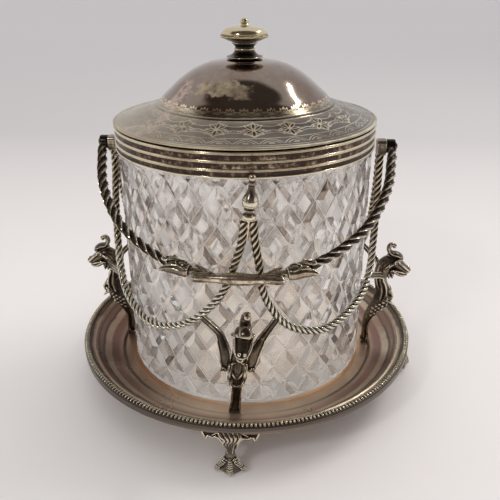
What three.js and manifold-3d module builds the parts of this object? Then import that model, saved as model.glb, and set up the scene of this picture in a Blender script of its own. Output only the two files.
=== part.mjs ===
// Victorian silver-plated biscuit barrel: a cut-glass jar with a plated mount and a lift-off domed lid,
// standing on a round tray inside a frame of twisted rope swags carried by four winged figures.
// Millimetres, +Z up. The origin is on the table, under the middle of the tray. The front faces -Y.
import * as THREE from 'three';
import { mergeVertices } from 'three/addons/utils/BufferGeometryUtils.js';
import Module from 'manifold-3d';

const wasm = await Module();
wasm.setup();

// Clearances
const seatGap = 0.3;
const ropeEndGap = 0.5;
const liftClearance = 1.6;
const pinClearance = 0.15;

// Tray and its border
const bedHeight = 17.5;
const bedMargin = 2.65;
const trayFlare = 23.1;
const trayGauge = 1.2;
const bedStep = 0.7;
const rimRise = 10.4;
const shelfDrop = 2.1;
const shelfWidth = 3.8;
const lipDrop = 3.4;
const borderWidth = 3.4;
const borderRise = 1.5;

// Glass jar
const glassRadius = 69.7;
const glassTop = 139;
const glassWall = 5.5;
const glassBase = 9;
const rimSetBack = 2;
const cutColumns = 31;
const cutRows = 11;
const cutRowHeight = 10.07;
const cutDepth = 1.7;
const cutPhase = -96.5;
const plainBand = 4.2;
const glassFootRound = 2;

// Plated mount round the mouth of the jar
const mountOverhang = 1.3;
const mountHeight = 12.5;
const mountGauge = 0.8;
const reedCount = 3;
const reedDepth = 0.8;
const cementBed = 1.1;

// Lid
const lidGauge = 1;
const rolledEdge = 1.3;
const flangeWidth = 23.8;
const flangeRise = 7.4;
const domeRise = 22.2;
const bezelDepth = 10;
const bezelGauge = 0.8;
const bezelClearance = 0.5;

// Knob
const knobFootRadius = 9.7;
const knobNeckRadius = 5.1;
const knobNeckHeight = 7.6;
const buttonRadius = 12.6;
const buttonHeight = 8.2;
const knobTipRadius = 2.1;
const knobStudRadius = 1.6;

// Rope frame
const ropeRadius = 1.95;
const ropePitch = 13.2;
const ropeStrands = 4;
const ropePairGap = 0.4;
const swagLow = 43.3;
const finialSeat = 109.2;
const frontLean = 6;

// Finials at the front and the back
const finialBallRadius = 3.8;
const finialHeight = 21.6;
const finialTilt = 5;
const saddleHeight = 1.6;

// Hinges
const hingeHeight = 125.6;
const hingeBlockHeight = 5.6;
const hingeBlockWidth = 4.6;
const pinRadius = 1.1;
const pinHeadRadius = 2;

// Swing handle
const armRadius = 2.75;
const armEndRadius = 2.35;
const armPitch = 25.6;
const handleReach = 91.2;
const handleSkew = 0.033;
const gripRadius = 3.2;
const gripLength = 41;
const headLength = 13;

// Winged figures
const figureHeight = 67.5;
const padLength = 4.4;
const padWidth = 6.6;
const padHeight = 1.6;
const studRadius = 1.3;
const nutFlats = 5.2;
const nutHeight = 1.9;
const wingReach = 57.5;
const frontTilt = 5;

// Webbed claw feet
const footBracketHalfWidth = 14.8;
const footReach = 5.8;
const footHalfWidth = 7.4;

// Numbers of facets
const roundSteps = 32;
const knobSteps = 16;
const smallSteps = 12;
const studSteps = 8;
const rodSteps = 8;
const twistSteps = 5;

const degree = Math.PI / 180;
const glassBottom = bedHeight + seatGap;
const glassTopHeight = bedHeight + glassTop;
const mountRadius = glassRadius + mountOverhang;
const mountTop = glassTopHeight + cementBed * 0.4 + mountGauge;
const mountBottom = mountTop - mountHeight;
const lidRadius = mountRadius;
const lidSeat = mountTop + seatGap;
const domeRadius = lidRadius - flangeWidth;
const cageRadius = mountRadius + liftClearance + ropeRadius;
const hingeLine = bedHeight + hingeHeight;
const figurePlace = cageRadius;
const bedRadius = figurePlace + bedMargin;
const trayRadius = bedRadius + trayFlare;

// Corner radius of a round hole whose flats clear the given radius
function bore(radius, steps) {
  return radius / Math.cos(Math.PI / steps);
}

function polar(radius, azimuth, height) {
  return new THREE.Vector3(radius * Math.cos(azimuth * degree), radius * Math.sin(azimuth * degree), height);
}

// Merges shared corners, drops empty triangles and turns the faces outward
function closed(geometry) {
  const bare = geometry.index ? geometry.toNonIndexed() : geometry.clone();
  bare.deleteAttribute('normal');
  bare.deleteAttribute('uv');
  const merged = mergeVertices(bare, 1e-4);
  const index = merged.index.array;
  const at = merged.attributes.position;
  const kept = [];
  let volume = 0;
  for (let i = 0; i < index.length; i += 3) {
    const [a, b, c] = [index[i], index[i + 1], index[i + 2]];
    if (a === b || b === c || c === a) continue;
    kept.push(a, b, c);
    const [p, q, r] = [a, b, c].map((n) => new THREE.Vector3().fromBufferAttribute(at, n));
    volume += p.dot(q.cross(r));
  }
  merged.setIndex(volume < 0 ? kept.reverse() : kept);
  return merged;
}

function solidOf(geometry) {
  const shell = closed(geometry);
  const mesh = new wasm.Mesh({
    numProp: 3,
    vertProperties: new Float32Array(shell.attributes.position.array),
    triVerts: new Uint32Array(shell.index.array),
  });
  return new wasm.Manifold(mesh);
}

function surfaceOf(solid) {
  const mesh = solid.getMesh();
  const geometry = new THREE.BufferGeometry();
  geometry.setAttribute('position', new THREE.BufferAttribute(new Float32Array(mesh.vertProperties), 3));
  geometry.setIndex([...mesh.triVerts]);
  return closed(geometry);
}

function joined(...parts) {
  return surfaceOf(parts.map(solidOf).reduce((whole, part) => whole.add(part)));
}

function cut(body, ...tools) {
  return surfaceOf(tools.map(solidOf).reduce((left, tool) => left.subtract(tool), solidOf(body)));
}

// Corners of the triangles between neighbouring rings, which are equal or one a few times as fine
function band(rings) {
  const corners = [];
  const facet = (a, b, c) => {
    if (a !== b && b !== c && c !== a) corners.push(a, b, c);
  };
  for (let k = 1; k < rings.length; k += 1) {
    const [low, high] = [rings[k - 1], rings[k]];
    const count = Math.max(low.length, high.length);
    const pick = (ring, i) => ring[Math.floor((i * ring.length) / count) % ring.length];
    for (let i = 0; i < count; i += 1) {
      facet(pick(low, i), pick(low, i + 1), pick(high, i + 1));
      facet(pick(low, i), pick(high, i + 1), pick(high, i));
    }
  }
  return corners;
}

// Fan that closes the first ring (turn -1) or the last ring (turn 1) of a band
function cap(ring, turn) {
  const middle = ring.reduce((sum, p) => sum.add(p), new THREE.Vector3()).divideScalar(ring.length);
  return ring.flatMap((corner, i) => [corner, ring.at((i + turn) % ring.length), middle]);
}

function solidSkin(corners) {
  return closed(new THREE.BufferGeometry().setFromPoints(corners));
}

function skin(rings) {
  return solidSkin([...cap(rings[0], -1), ...band(rings), ...cap(rings.at(-1), 1)]);
}

// Turns a closed or axis-to-axis profile of [radius, height] pairs round the Z axis
function revolve(profile, steps) {
  const points = profile.map(([radius, height]) => new THREE.Vector2(radius, height));
  return closed(new THREE.LatheGeometry(points, steps).rotateX(Math.PI / 2));
}

function loop(profile) {
  return [...profile, profile[0]];
}

function curvePoints(from, first, second, to, steps) {
  const curve = new THREE.CubicBezierCurve(
    new THREE.Vector2(...from),
    new THREE.Vector2(...first),
    new THREE.Vector2(...second),
    new THREE.Vector2(...to),
  );
  return curve.getPoints(steps).map((p) => [p.x, p.y]);
}

function rod(radius, length, steps) {
  return closed(new THREE.CylinderGeometry(radius, radius, length, steps).rotateX(Math.PI / 2));
}

// Ring of corners round a point, flattened to half widths along two directions
function oval(centre, along, across, halfAlong, halfAcross, corners) {
  const ring = [];
  for (let i = 0; i < corners; i += 1) {
    const turn = (2 * Math.PI * (i + 0.5)) / corners;
    ring.push(
      centre
        .clone()
        .addScaledVector(along, halfAlong * Math.cos(turn))
        .addScaledVector(across, halfAcross * Math.sin(turn)),
    );
  }
  return ring;
}

// Rod whose corners wind round it like the strands of a rope, tapering to its end radius
function twistedRod(curve, radius, endRadius, pitch, strands) {
  const length = curve.getLength();
  const steps = Math.ceil((length / pitch) * twistSteps);
  const frames = curve.computeFrenetFrames(steps, false);
  const rings = [];
  for (let i = 0; i <= steps; i += 1) {
    const turn = (2 * Math.PI * i * length) / (steps * pitch);
    const here = radius + ((endRadius - radius) * i) / steps;
    const ring = [];
    for (let strand = 0; strand < strands; strand += 1) {
      const angle = turn + (2 * Math.PI * strand) / strands;
      ring.push(
        curve
          .getPointAt(i / steps)
          .addScaledVector(frames.normals[i], here * Math.cos(angle))
          .addScaledVector(frames.binormals[i], here * Math.sin(angle)),
      );
    }
    rings.push(ring);
  }
  return skin(rings);
}

// Smooth plain rod along a curve, used to make room for a rope
function plainRod(curve, radius, steps) {
  const frames = curve.computeFrenetFrames(steps, false);
  const rings = [];
  for (let i = 0; i <= steps; i += 1) {
    const corner = bore(radius, rodSteps);
    rings.push(oval(curve.getPointAt(i / steps), frames.normals[i], frames.binormals[i], corner, corner, rodSteps));
  }
  return skin(rings);
}

// Tray: flat bed, shallow step, curved side, sunk shelf, flat rim for the border and a turned-down lip
function trayProfile() {
  const rimInner = trayRadius - borderWidth;
  const shelf = rimRise - shelfDrop;
  const sideTop = rimInner - shelfWidth;
  const side = (offset, steps) =>
    curvePoints(
      [bedRadius + 1.2 + offset, bedStep],
      [bedRadius + (sideTop - bedRadius) * 0.6 + offset, bedStep + 1],
      [sideTop - 1.6 + offset, shelf * 0.5],
      [sideTop - 0.4 + offset, shelf],
      steps,
    );
  const upper = [
    [bedRadius, 0],
    ...side(0, 3),
    [sideTop + 1.4, shelf],
    [rimInner - 0.4, rimRise - 0.3],
    [rimInner, rimRise],
    [trayRadius, rimRise],
  ];
  const lower = [
    [trayRadius, rimRise - lipDrop],
    [trayRadius - trayGauge, rimRise - lipDrop],
    [trayRadius - trayGauge, rimRise - trayGauge],
    [rimInner + 0.2, rimRise - trayGauge],
    [sideTop + 1.9, shelf - trayGauge],
    ...side(trayGauge * 0.6, 2)
      .reverse()
      .map(([radius, height]) => [radius, height - trayGauge]),
    [bedRadius + 0.4, -trayGauge],
  ];
  return [[0, 0], ...upper, ...lower, [0, -trayGauge]].map(([radius, height]) => [radius, bedHeight + height]);
}

function studHole(azimuth) {
  const hole = rod(bore(studRadius + seatGap, studSteps), trayGauge * 4, studSteps);
  return hole.translate(...polar(figurePlace, azimuth, bedHeight));
}

function tray() {
  return cut(revolve(trayProfile(), roundSteps), ...[0, 90, 180, 270].map(studHole));
}

// Half-round border that carries the beading on the tray's shelf
function beadedBorder() {
  const base = bedHeight + rimRise + seatGap;
  const outer = trayRadius;
  const inner = trayRadius - borderWidth + 0.4;
  const middle = (outer + inner) / 2;
  return revolve(
    loop([
      [inner, base],
      [outer, base],
      [outer, base + borderRise * 0.6],
      [middle, base + borderRise],
      [inner, base + borderRise * 0.6],
    ]),
    roundSteps,
  );
}

// Webbed claw foot: a ribbed leg under a bat-wing bracket, spreading to three toes
function footLeg() {
  const place = trayRadius - trayGauge - 2;
  const web = 2;
  const heel = [place - 4.4, 1.8];
  const outline = (reach, half, pinch, height) => {
    const toe = place + reach;
    const sideToe = place + reach * 0.12;
    const points = [
      [toe, pinch * 0.9],
      [(toe + sideToe) / 2 - reach * 0.16, half * 0.46],
      [sideToe, half],
      [place - (place - heel[0]) * pinch * 0.5, half * 0.62],
      [place - (place - heel[0]) * pinch, heel[1] * pinch],
    ];
    const mirrored = [...points].reverse().map(([x, y]) => [x, -y]);
    return [...points, ...mirrored].map(([x, y]) => new THREE.Vector3(x, y, height));
  };
  return skin([
    outline(1.1, 4.4, 0.25, bedHeight + 5.4),
    outline(1.8, 3.6, 0.32, bedHeight + 1.6),
    outline(2.2, 2.5, 0.42, bedHeight - 4.6),
    outline(3.2, 3, 0.6, bedHeight - 7),
    outline(footReach * 0.86, footHalfWidth * 0.66, 0.85, web * 3),
    outline(footReach + 1.9, footHalfWidth, 1, web),
    outline(footReach + 2.4, footHalfWidth, 1, 0),
  ]);
}

function footBracket() {
  const top = bedHeight + rimRise - trayGauge - seatGap - 0.2;
  const tip = bedHeight + 2.7;
  const half = footBracketHalfWidth;
  const wing = new THREE.Shape();
  wing.moveTo(0, top);
  wing.lineTo(-half, top);
  wing.quadraticCurveTo(-half * 0.93, tip + 2.6, -half * 0.83, tip - 0.6);
  wing.quadraticCurveTo(-half * 0.74, tip + 1.9, -half * 0.6, tip + 0.9);
  wing.quadraticCurveTo(-half * 0.42, tip + 1.5, -half * 0.3, tip - 1.4);
  wing.lineTo(0, tip - 3);
  wing.lineTo(half * 0.3, tip - 1.4);
  wing.quadraticCurveTo(half * 0.42, tip + 1.5, half * 0.6, tip + 0.9);
  wing.quadraticCurveTo(half * 0.74, tip + 1.9, half * 0.83, tip - 0.6);
  wing.quadraticCurveTo(half * 0.93, tip + 2.6, half, top);
  const plate = new THREE.ExtrudeGeometry(wing, { depth: 1.2, bevelEnabled: false, curveSegments: 2 });
  const inner = trayRadius - trayGauge - 1.8;
  const at = plate.attributes.position;
  for (let i = 0; i < at.count; i += 1) {
    const turn = at.getX(i) / inner;
    const radius = inner + at.getZ(i);
    at.setXYZ(i, radius * Math.cos(turn), radius * Math.sin(turn), at.getY(i));
  }
  return closed(plate);
}

function clawFoot() {
  return joined(footLeg(), footBracket());
}

// Winged figure: pad, leg, chest, arched neck and long-muzzled head with a curled crest.
// Stations give [radius, height, half thickness fore and aft, half width] up the spine.
const figureSpine = [
  [0, 0.8, 2.3, 2.9],
  [0, 5.5, 1.9, 1.9],
  [0.6, 12, 2.3, 2.1],
  [3, 19, 3.3, 3.2],
  [6.4, 25.8, 4.6, 4.2],
  [8.9, 31.6, 5, 4.5],
  [8.4, 37.5, 3.6, 3.7],
  [7.1, 43, 2.8, 3],
  [7.3, 48.4, 2.8, 3],
  [9.4, 53.4, 3.2, 3.3],
  [13, 55.4, 3.6, 3.8],
  [16.8, 54, 3.3, 3.5],
  [20, 51.9, 2.2, 2.3],
  [22.8, 50, 1.3, 1.3],
  [23.8, 49.4, 0.5, 0.5],
];
const figureSpineTop = 67.5;
const crestPath = [
  [19, 58.2],
  [15.6, 59.4],
  [12.4, 59.4],
  [10.2, 60.8],
  [9.5, 63.4],
  [10.6, 66],
  [12.7, 66.6],
  [13.9, 65.2],
];
const crestThickness = [1.5, 1.7, 1.3, 1.1, 1, 1.1, 1.2];

const figureScale = figureHeight / figureSpineTop;

// Point of a figure that faces +X, leaning sideways by a tilt in degrees
function figurePoint(out, height, tilt = 0, side = 0) {
  const rise = height * figureScale;
  return new THREE.Vector3(
    figurePlace + out * figureScale,
    side * figureScale + rise * Math.tan(tilt * degree),
    bedHeight + seatGap + rise,
  );
}

function figureBody(tilt, grow) {
  const places = figureSpine.map(([out, height]) => figurePoint(out, height, tilt));
  const across = new THREE.Vector3(0, 1, 0);
  const rings = figureSpine.map(([, , thick, wide], i) => {
    const before = places[Math.max(i - 1, 0)];
    const after = places[Math.min(i + 1, places.length - 1)];
    const ahead = after.clone().sub(before).normalize();
    const fore = ahead.clone().cross(across);
    return oval(places[i], fore, across, thick * figureScale + grow, wide * figureScale + grow, 8);
  });
  return skin(rings);
}

function figureCrest(tilt) {
  const curve = new THREE.CatmullRomCurve3(crestPath.map(([out, height]) => figurePoint(out, height, tilt)));
  const across = new THREE.Vector3(0, 1, 0);
  const rings = crestThickness.map((thick, i) => {
    const share = i / (crestThickness.length - 1);
    const ahead = curve.getTangent(share);
    return oval(curve.getPoint(share), ahead.clone().cross(across), across, thick, thick, 5);
  });
  return skin(rings);
}

function figureBeard(tilt) {
  const root = figurePoint(12.6, 52.4, tilt);
  const rings = [3.2, 2.1, 0.5].map((size, i) =>
    oval(
      root.clone().add(new THREE.Vector3(i * 0.55, 0, -i * 3.9)),
      new THREE.Vector3(1, 0, 0),
      new THREE.Vector3(0, 1, 0),
      size * 0.6,
      size * 0.5,
      4,
    ),
  );
  return skin(rings);
}

function figure(tilt) {
  const pad = new THREE.BoxGeometry(padLength, padWidth, padHeight);
  pad.translate(...figurePoint(0, 0).add(new THREE.Vector3(0, 0, padHeight / 2)));
  const studLength = seatGap + trayGauge + nutHeight + seatGap * 2;
  const stud = rod(studRadius, studLength + padHeight / 2, studSteps);
  stud.translate(...figurePoint(0, 0).add(new THREE.Vector3(0, 0, padHeight / 2 - (studLength + padHeight / 2) / 2)));
  const scrollChest = rod(1.7, 5.6, 8);
  scrollChest.rotateX(Math.PI / 2);
  scrollChest.translate(...figurePoint(13.2, 31.2, tilt));
  return joined(figureBody(tilt, 0), pad, stud, figureCrest(tilt), figureBeard(tilt), scrollChest);
}

// Hexagon nut under the tray bed that holds one figure by its stud
function figureNut() {
  const blank = rod(nutFlats / Math.sqrt(3), nutHeight, 6);
  const hole = rod(bore(studRadius + pinClearance, studSteps), nutHeight * 2, studSteps);
  return cut(blank, hole).translate(figurePlace, 0, bedHeight - trayGauge - seatGap - nutHeight / 2);
}

// Route of one rope from the front or back finial, round the jar in a swag and up to a hinge block.
// Each point is [degrees from the finial, share of the climb from the lowest point].
const finialSide = [
  [2.4, 0.84],
  [4.5, 0.66],
  [6.8, 0.47],
  [10.7, 0.32],
  [20.6, 0.115],
];
const swagBottom = 37.5;
const hingeSide = [
  [58, 0.07],
  [72, 0.18],
  [80, 0.4],
  [86.5, 0.72],
];
const steepHingeSide = [
  [55.5, 0.07],
  [66.5, 0.18],
  [73, 0.4],
  [82.5, 0.66],
  [87.4, 0.86],
];

// The front left rope hangs more steeply to its hinge than the other three
function swagCurve(fromFront, toRight) {
  const pairAngle = Math.asin((ropeRadius + ropePairGap / 2) / cageRadius) / degree;
  const hingeSeat = hingeHeight - hingeBlockHeight / 2 - ropeEndGap;
  const finialClimb = finialSeat - ropeEndGap - swagLow;
  const hingeClimb = hingeSeat - swagLow;
  const outerSide = fromFront && !toRight ? steepHingeSide : hingeSide;
  const route = [
    [pairAngle, finialClimb],
    ...finialSide.map(([angle, share]) => [Math.max(angle, pairAngle), share * finialClimb]),
    [swagBottom, 0],
    ...outerSide.map(([angle, share]) => [Math.min(angle, 90 - pairAngle), share * hingeClimb]),
    [90 - pairAngle, hingeClimb],
  ];
  const side = fromFront === toRight ? 1 : -1;
  const points = route.map(([angle, climb], i) => {
    const share = Math.min(climb / finialClimb, 1);
    const lean = fromFront && i < finialSide.length + 1 ? frontLean * Math.sin((share * Math.PI) / 2) : 0;
    const azimuth = (fromFront ? -90 : 90) + side * angle + lean;
    return polar(cageRadius, azimuth, bedHeight + swagLow + climb);
  });
  return new THREE.CatmullRomCurve3(points, false, 'centripetal');
}

// Point of a swag at the wing's reach, on its finial side or on its hinge side
function swagAnchor(curve, nearFinial) {
  const steps = 200;
  const target = bedHeight + wingReach;
  for (let i = 0; i <= steps; i += 1) {
    const share = nearFinial ? i / steps : 1 - i / steps;
    const point = curve.getPoint(share);
    if (point.z <= target) return point;
  }
  return curve.getPoint(0.5);
}

// Wing: a blade from the figure's shoulder that curls at the elbow and rises to a swag
function wing(curve, nearFinial, turned, tilt) {
  const anchor = swagAnchor(curve, nearFinial).applyMatrix4(turned.clone().invert());
  const side = Math.sign(anchor.y);
  const shoulder = figurePoint(7.4, 32.5, tilt, side * 2.2);
  const elbow = figurePoint(9.4, 33.4, tilt, side * 7);
  const rise = figurePoint(8.6, 39.6, tilt, side * 8.6);
  const wrist = figurePoint(6.6, 47.6, tilt, side * 9);
  const path = new THREE.CatmullRomCurve3([shoulder, elbow, rise, wrist, anchor], false, 'centripetal');
  const halfWidths = [1.4, 2.2, 2.6, 2.5, 2.2, 1.8, 1.5, 1.6];
  const outward = new THREE.Vector3(1, 0, 0);
  const rings = halfWidths.map((half, i) => {
    const share = i / (halfWidths.length - 1);
    const ahead = path.getTangentAt(share);
    const flat = outward.clone().cross(ahead).normalize();
    const face = ahead.clone().cross(flat);
    return oval(path.getPointAt(share), flat, face, half, 1 + half * 0.12, 4);
  });
  const body = figureBody(tilt, seatGap);
  const rope = plainRod(curve, ropeRadius + seatGap, 50).applyMatrix4(turned.clone().invert());
  return cut(skin(rings), body, rope).applyMatrix4(turned);
}

const saddleHalfWidth = ropeRadius * 2 + ropePairGap;

// Finial: saddle over the two rope ends, dish, ball, waisted neck and top bead
function finial() {
  const ballHeight = 8.8;
  const base = 0.6;
  const turned = revolve(
    [
      [0, base],
      [2.6, base],
      [3.3, 2.8],
      [1.5, 4.4],
      [finialBallRadius * 0.8, ballHeight - finialBallRadius * 0.6],
      [finialBallRadius, ballHeight],
      [finialBallRadius * 0.78, ballHeight + finialBallRadius * 0.55],
      [2, ballHeight + finialBallRadius + 0.6],
      [1.1, finialHeight - 4.6],
      [1.9, finialHeight - 3.4],
      [1.5, finialHeight - 0.6],
      [0, finialHeight],
    ],
    smallSteps,
  );
  const saddle = oval(
    new THREE.Vector3(),
    new THREE.Vector3(1, 0, 0),
    new THREE.Vector3(0, 1, 0),
    ropeRadius + 0.5,
    saddleHalfWidth,
    smallSteps,
  );
  const lifted = saddle.map((point) => point.clone().setZ(saddleHeight));
  return joined(turned, skin([saddle, lifted]));
}

// Hinge block that caps the two ropes on one side and holds the handle's pin
function hingeBlock() {
  const inner = cageRadius - ropeRadius - 0.1;
  const outer = cageRadius + hingeBlockWidth / 2 + 0.6;
  const block = new THREE.BoxGeometry(outer - inner, 4 * ropeRadius + ropePairGap, hingeBlockHeight);
  block.translate((outer + inner) / 2, 0, hingeLine);
  const hole = rod(bore(pinRadius + pinClearance, smallSteps), 20, smallSteps).rotateY(Math.PI / 2);
  hole.translate(outer, 0, hingeLine);
  return cut(block, hole);
}

function hingeOuter() {
  return cageRadius + hingeBlockWidth / 2 + 0.6;
}

function eyeInner() {
  return hingeOuter() + seatGap;
}

function eyeOuter() {
  return eyeInner() + hingeBlockWidth;
}

function hingePin() {
  const inner = cageRadius - ropeRadius + 0.4;
  const outer = eyeOuter() + seatGap;
  const shank = revolve(
    [
      [0, inner],
      [pinRadius, inner],
      [pinRadius, outer],
      [pinHeadRadius, outer],
      [pinHeadRadius * 0.75, outer + 0.9],
      [0, outer + 1.2],
    ],
    smallSteps,
  );
  return shank.rotateY(Math.PI / 2).translate(0, 0, hingeLine);
}

// Point of the handle, drawn flat: X across the jar and Y from the hinge line out to the grip.
// The bow leans sideways by its skew; hand is 1 for the right half and -1 for the left half.
function handlePoint(across, reach, hand) {
  return new THREE.Vector3(across + hand * handleSkew * reach, reach, 0);
}

// Shares of the way in from the hinge to the head and of the way out to the grip
const armBow = [
  [0.007, 0.071],
  [0.039, 0.164],
  [0.075, 0.274],
  [0.137, 0.384],
  [0.224, 0.493],
  [0.339, 0.603],
  [0.504, 0.713],
  [0.736, 0.822],
  [0.891, 0.877],
  [1, 0.915],
];
const collarPlace = [gripLength / 2 + 2.9, handleReach * 0.956];

function armCurve(hand, extra = 0) {
  const line = eyeInner() + armRadius + 0.15;
  const inner = collarPlace[0] + headLength * 0.74;
  const points = [
    new THREE.Vector3(line, hingeBlockHeight * 0.4, 0),
    ...armBow.map(([inward, out]) => handlePoint(line - inward * (line - inner), out * handleReach, hand)),
  ];
  const end = points.at(-1);
  end.addScaledVector(end.clone().sub(points.at(-2)).normalize(), extra);
  return new THREE.CatmullRomCurve3(points, false, 'centripetal');
}

function handleArm(hand) {
  const half = hingeBlockHeight / 2;
  const eye = new THREE.CylinderGeometry(half, half, eyeOuter() - eyeInner(), smallSteps).rotateZ(Math.PI / 2);
  eye.translate((eyeInner() + eyeOuter()) / 2, 0, 0);
  const hole = rod(bore(pinRadius + pinClearance, smallSteps), 20, smallSteps).rotateY(Math.PI / 2);
  hole.translate(eyeOuter(), 0, 0);
  const arm = twistedRod(armCurve(hand), armRadius, armEndRadius, armPitch, ropeStrands);
  return cut(joined(eye, arm), hole);
}

// Cross-section of the head, at a share of the way from its collar to the end of the twisted arm
function headStation(hand, share, shift, wide, thick) {
  const collar = handlePoint(...collarPlace, hand);
  const ahead = armCurve(hand).getPointAt(1).sub(collar);
  const across = new THREE.Vector3(-ahead.y, ahead.x, 0).normalize();
  const middle = collar.addScaledVector(ahead, share).addScaledVector(across, shift);
  return oval(middle, across, new THREE.Vector3(0, 0, 1), wide, thick, 6);
}

// Neck and collar of the head, which lie in the fork of the grip; grown for the clearance round them
function headNeck(hand, grow) {
  const back = grow / headLength;
  return [
    headStation(hand, -0.7 - back, -1.5, 0.35 + grow, 1 + grow),
    headStation(hand, -0.5, -1.45, 0.9 + grow, 1.4 + grow),
    headStation(hand, -0.22, -0.8, 1.6 + grow, 1.8 + grow),
    headStation(hand, -0.02 - back, 0, 1.9 + grow, 2 + grow),
    headStation(hand, -back, 0, 2.7 + grow, 2.7 + grow),
    headStation(hand, 0.17, 0.1, 3.2 + grow, 3 + grow),
  ];
}

// Head in profile along the handle's line, jaws open round the end of the twisted arm
function handleHead(hand) {
  const station = (...place) => headStation(hand, ...place);
  const skull = skin([
    ...headNeck(hand, 0),
    station(0.66, 0, 3.6, 3),
    station(0.93, 0, 3.9, 2.7),
  ]);
  const upperJaw = skin([station(0.8, -2.8, 1.6, 2.3), station(1.1, -3.7, 1.1, 1.7), station(1.3, -4.6, 0.4, 0.6)]);
  const lowerJaw = skin([station(0.8, 2.8, 1.6, 2.3), station(1.1, 3.6, 1.1, 1.8), station(1.3, 4.6, 0.5, 0.8)]);
  const mouth = plainRod(armCurve(hand, seatGap), armEndRadius + seatGap * 1.2, 14);
  return cut(joined(skull, upperJaw, lowerJaw), mouth);
}

// Half of the grip, from its middle: stations give [across, reach, half width in the plane, half thickness]
function gripHalf(hand) {
  const half = gripLength / 2;
  const limb = (stations) =>
    skin(
      stations.map(([across, reach, wide, thick]) =>
        oval(
          handlePoint(across * half, handleReach + reach, hand),
          new THREE.Vector3(0, 1, 0),
          new THREE.Vector3(0, 0, 1),
          wide,
          thick,
          8,
        ),
      ),
    );
  const bar = limb([
    [0, 0, gripRadius, gripRadius],
    [0.41, -0.1, 2.45, 2.5],
    [0.66, -0.3, 2.1, 2.1],
    [0.87, -0.2, 1.8, 1.9],
    [1.02, 0, 1.3, 1.5],
    [1.09, 0.2, 0.4, 0.6],
  ]);
  const leaf = limb([
    [0.5, -0.9, 1, 1.6],
    [0.7, -3.1, 1.3, 1.6],
    [0.86, -5.3, 1, 1.4],
    [1.01, -7.3, 0.4, 0.7],
  ]);
  return cut(joined(bar, leaf), skin(headNeck(hand, seatGap * 1.2)));
}

// Grip: a swelling bar whose ends fork into two leaves over the heads' necks
function handleGrip() {
  return joined(gripHalf(1), gripHalf(-1).rotateY(Math.PI));
}

// Point of the jar's outside by cut column and row, half columns apart and numbered down from the top
function cutPoint(column, row, radius) {
  const latticeTop = mountBottom - seatGap - plainBand;
  return polar(radius, cutPhase + (column * 180) / cutColumns, latticeTop - row * cutRowHeight);
}

// Centres of the diamonds of one row
function diamondColumns(row) {
  return Array.from({ length: cutColumns }, (_, i) => 2 * i + ((row + 1) % 2));
}

// Edge of the lattice, where it ends in half diamonds
function latticeEdge(row) {
  return diamondColumns(row).flatMap((middle) => [
    cutPoint(middle - 0.5, row, glassRadius),
    cutPoint(middle + 0.5, row, glassRadius),
    cutPoint(middle + 1, row, glassRadius - cutDepth),
  ]);
}

// Mitre-cut lattice: each diamond is a flat table with four facets down to the cuts
function latticeFacets() {
  const flat = glassRadius * Math.cos((Math.PI / cutColumns) * 0.5);
  const corners = [];
  for (let row = 0; row <= cutRows; row += 1) {
    for (const middle of diamondColumns(row)) {
      const [table, cuts] = [0.5, 1].map((size) => {
        const [wide, tall] = size < 1 ? [glassRadius, flat] : [glassRadius - cutDepth, glassRadius - cutDepth];
        return [
          cutPoint(middle - size, row, wide),
          cutPoint(middle, row + size, tall),
          cutPoint(middle + size, row, wide),
          cutPoint(middle, row - size, tall),
        ];
      });
      for (const [first, present] of [[0, row < cutRows], [2, row > 0]]) {
        if (!present) continue;
        const [a, b, c] = [first, first + 1, (first + 2) % 4];
        corners.push(table[a], table[b], table[c]);
        corners.push(cuts[a], cuts[b], table[b], cuts[a], table[b], table[a]);
        corners.push(cuts[b], cuts[c], table[c], cuts[b], table[c], table[b]);
      }
    }
  }
  return corners;
}

function plainRing(radius, height) {
  const ring = [];
  for (let i = 0; i < cutColumns; i += 1) {
    ring.push(polar(radius, cutPhase + (i * 360) / cutColumns, height));
  }
  return ring;
}

// Glass jar: the lattice between a plain band under the mount and a rounded foot
function glassJar() {
  const shoulder = mountBottom - seatGap;
  const inside = glassRadius - glassWall;
  const foot = plainRing(glassRadius - glassFootRound - 1, glassBottom);
  const floor = plainRing(inside - 3, glassBottom + glassBase);
  return solidSkin([
    ...cap(foot, -1),
    ...band([foot, plainRing(glassRadius - 0.8, glassBottom + glassFootRound), latticeEdge(cutRows)]),
    ...latticeFacets(),
    ...band([
      latticeEdge(0),
      plainRing(glassRadius, shoulder),
      plainRing(glassRadius - rimSetBack, shoulder),
      plainRing(glassRadius - rimSetBack, glassTopHeight),
      plainRing(inside, glassTopHeight),
      plainRing(inside, glassBottom + glassBase + 3),
      floor,
    ]),
    ...cap(floor, 1),
  ]);
}

// Mount: reeded outside, turned in over the rim of the glass
function jarMount() {
  const inside = mountRadius - reedDepth - mountGauge;
  const pitch = (mountHeight - 0.8) / reedCount;
  const reeds = [];
  for (let reed = 0; reed < reedCount; reed += 1) {
    const low = mountBottom + 0.8 + reed * pitch;
    reeds.push([mountRadius - reedDepth, low], [mountRadius, low + pitch * 0.6]);
  }
  return revolve(
    loop([
      [inside, mountBottom],
      [mountRadius - reedDepth * 0.4, mountBottom],
      ...reeds,
      [mountRadius - reedDepth, mountTop],
      [glassRadius - glassWall, mountTop],
      [glassRadius - glassWall, mountTop - mountGauge],
      [inside, mountTop - mountGauge],
    ]),
    roundSteps,
  );
}

// Plaster bed between the mount and the ground rim of the glass
function cementRing() {
  const inner = bore(glassRadius - rimSetBack + 0.15, roundSteps);
  const outer = (mountRadius - reedDepth - mountGauge) * Math.cos(Math.PI / roundSteps) - 0.1;
  return revolve(
    loop([
      [inner, mountBottom + seatGap],
      [outer, mountBottom + seatGap],
      [outer, glassTopHeight - seatGap],
      [inner, glassTopHeight - seatGap],
    ]),
    roundSteps,
  );
}

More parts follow.
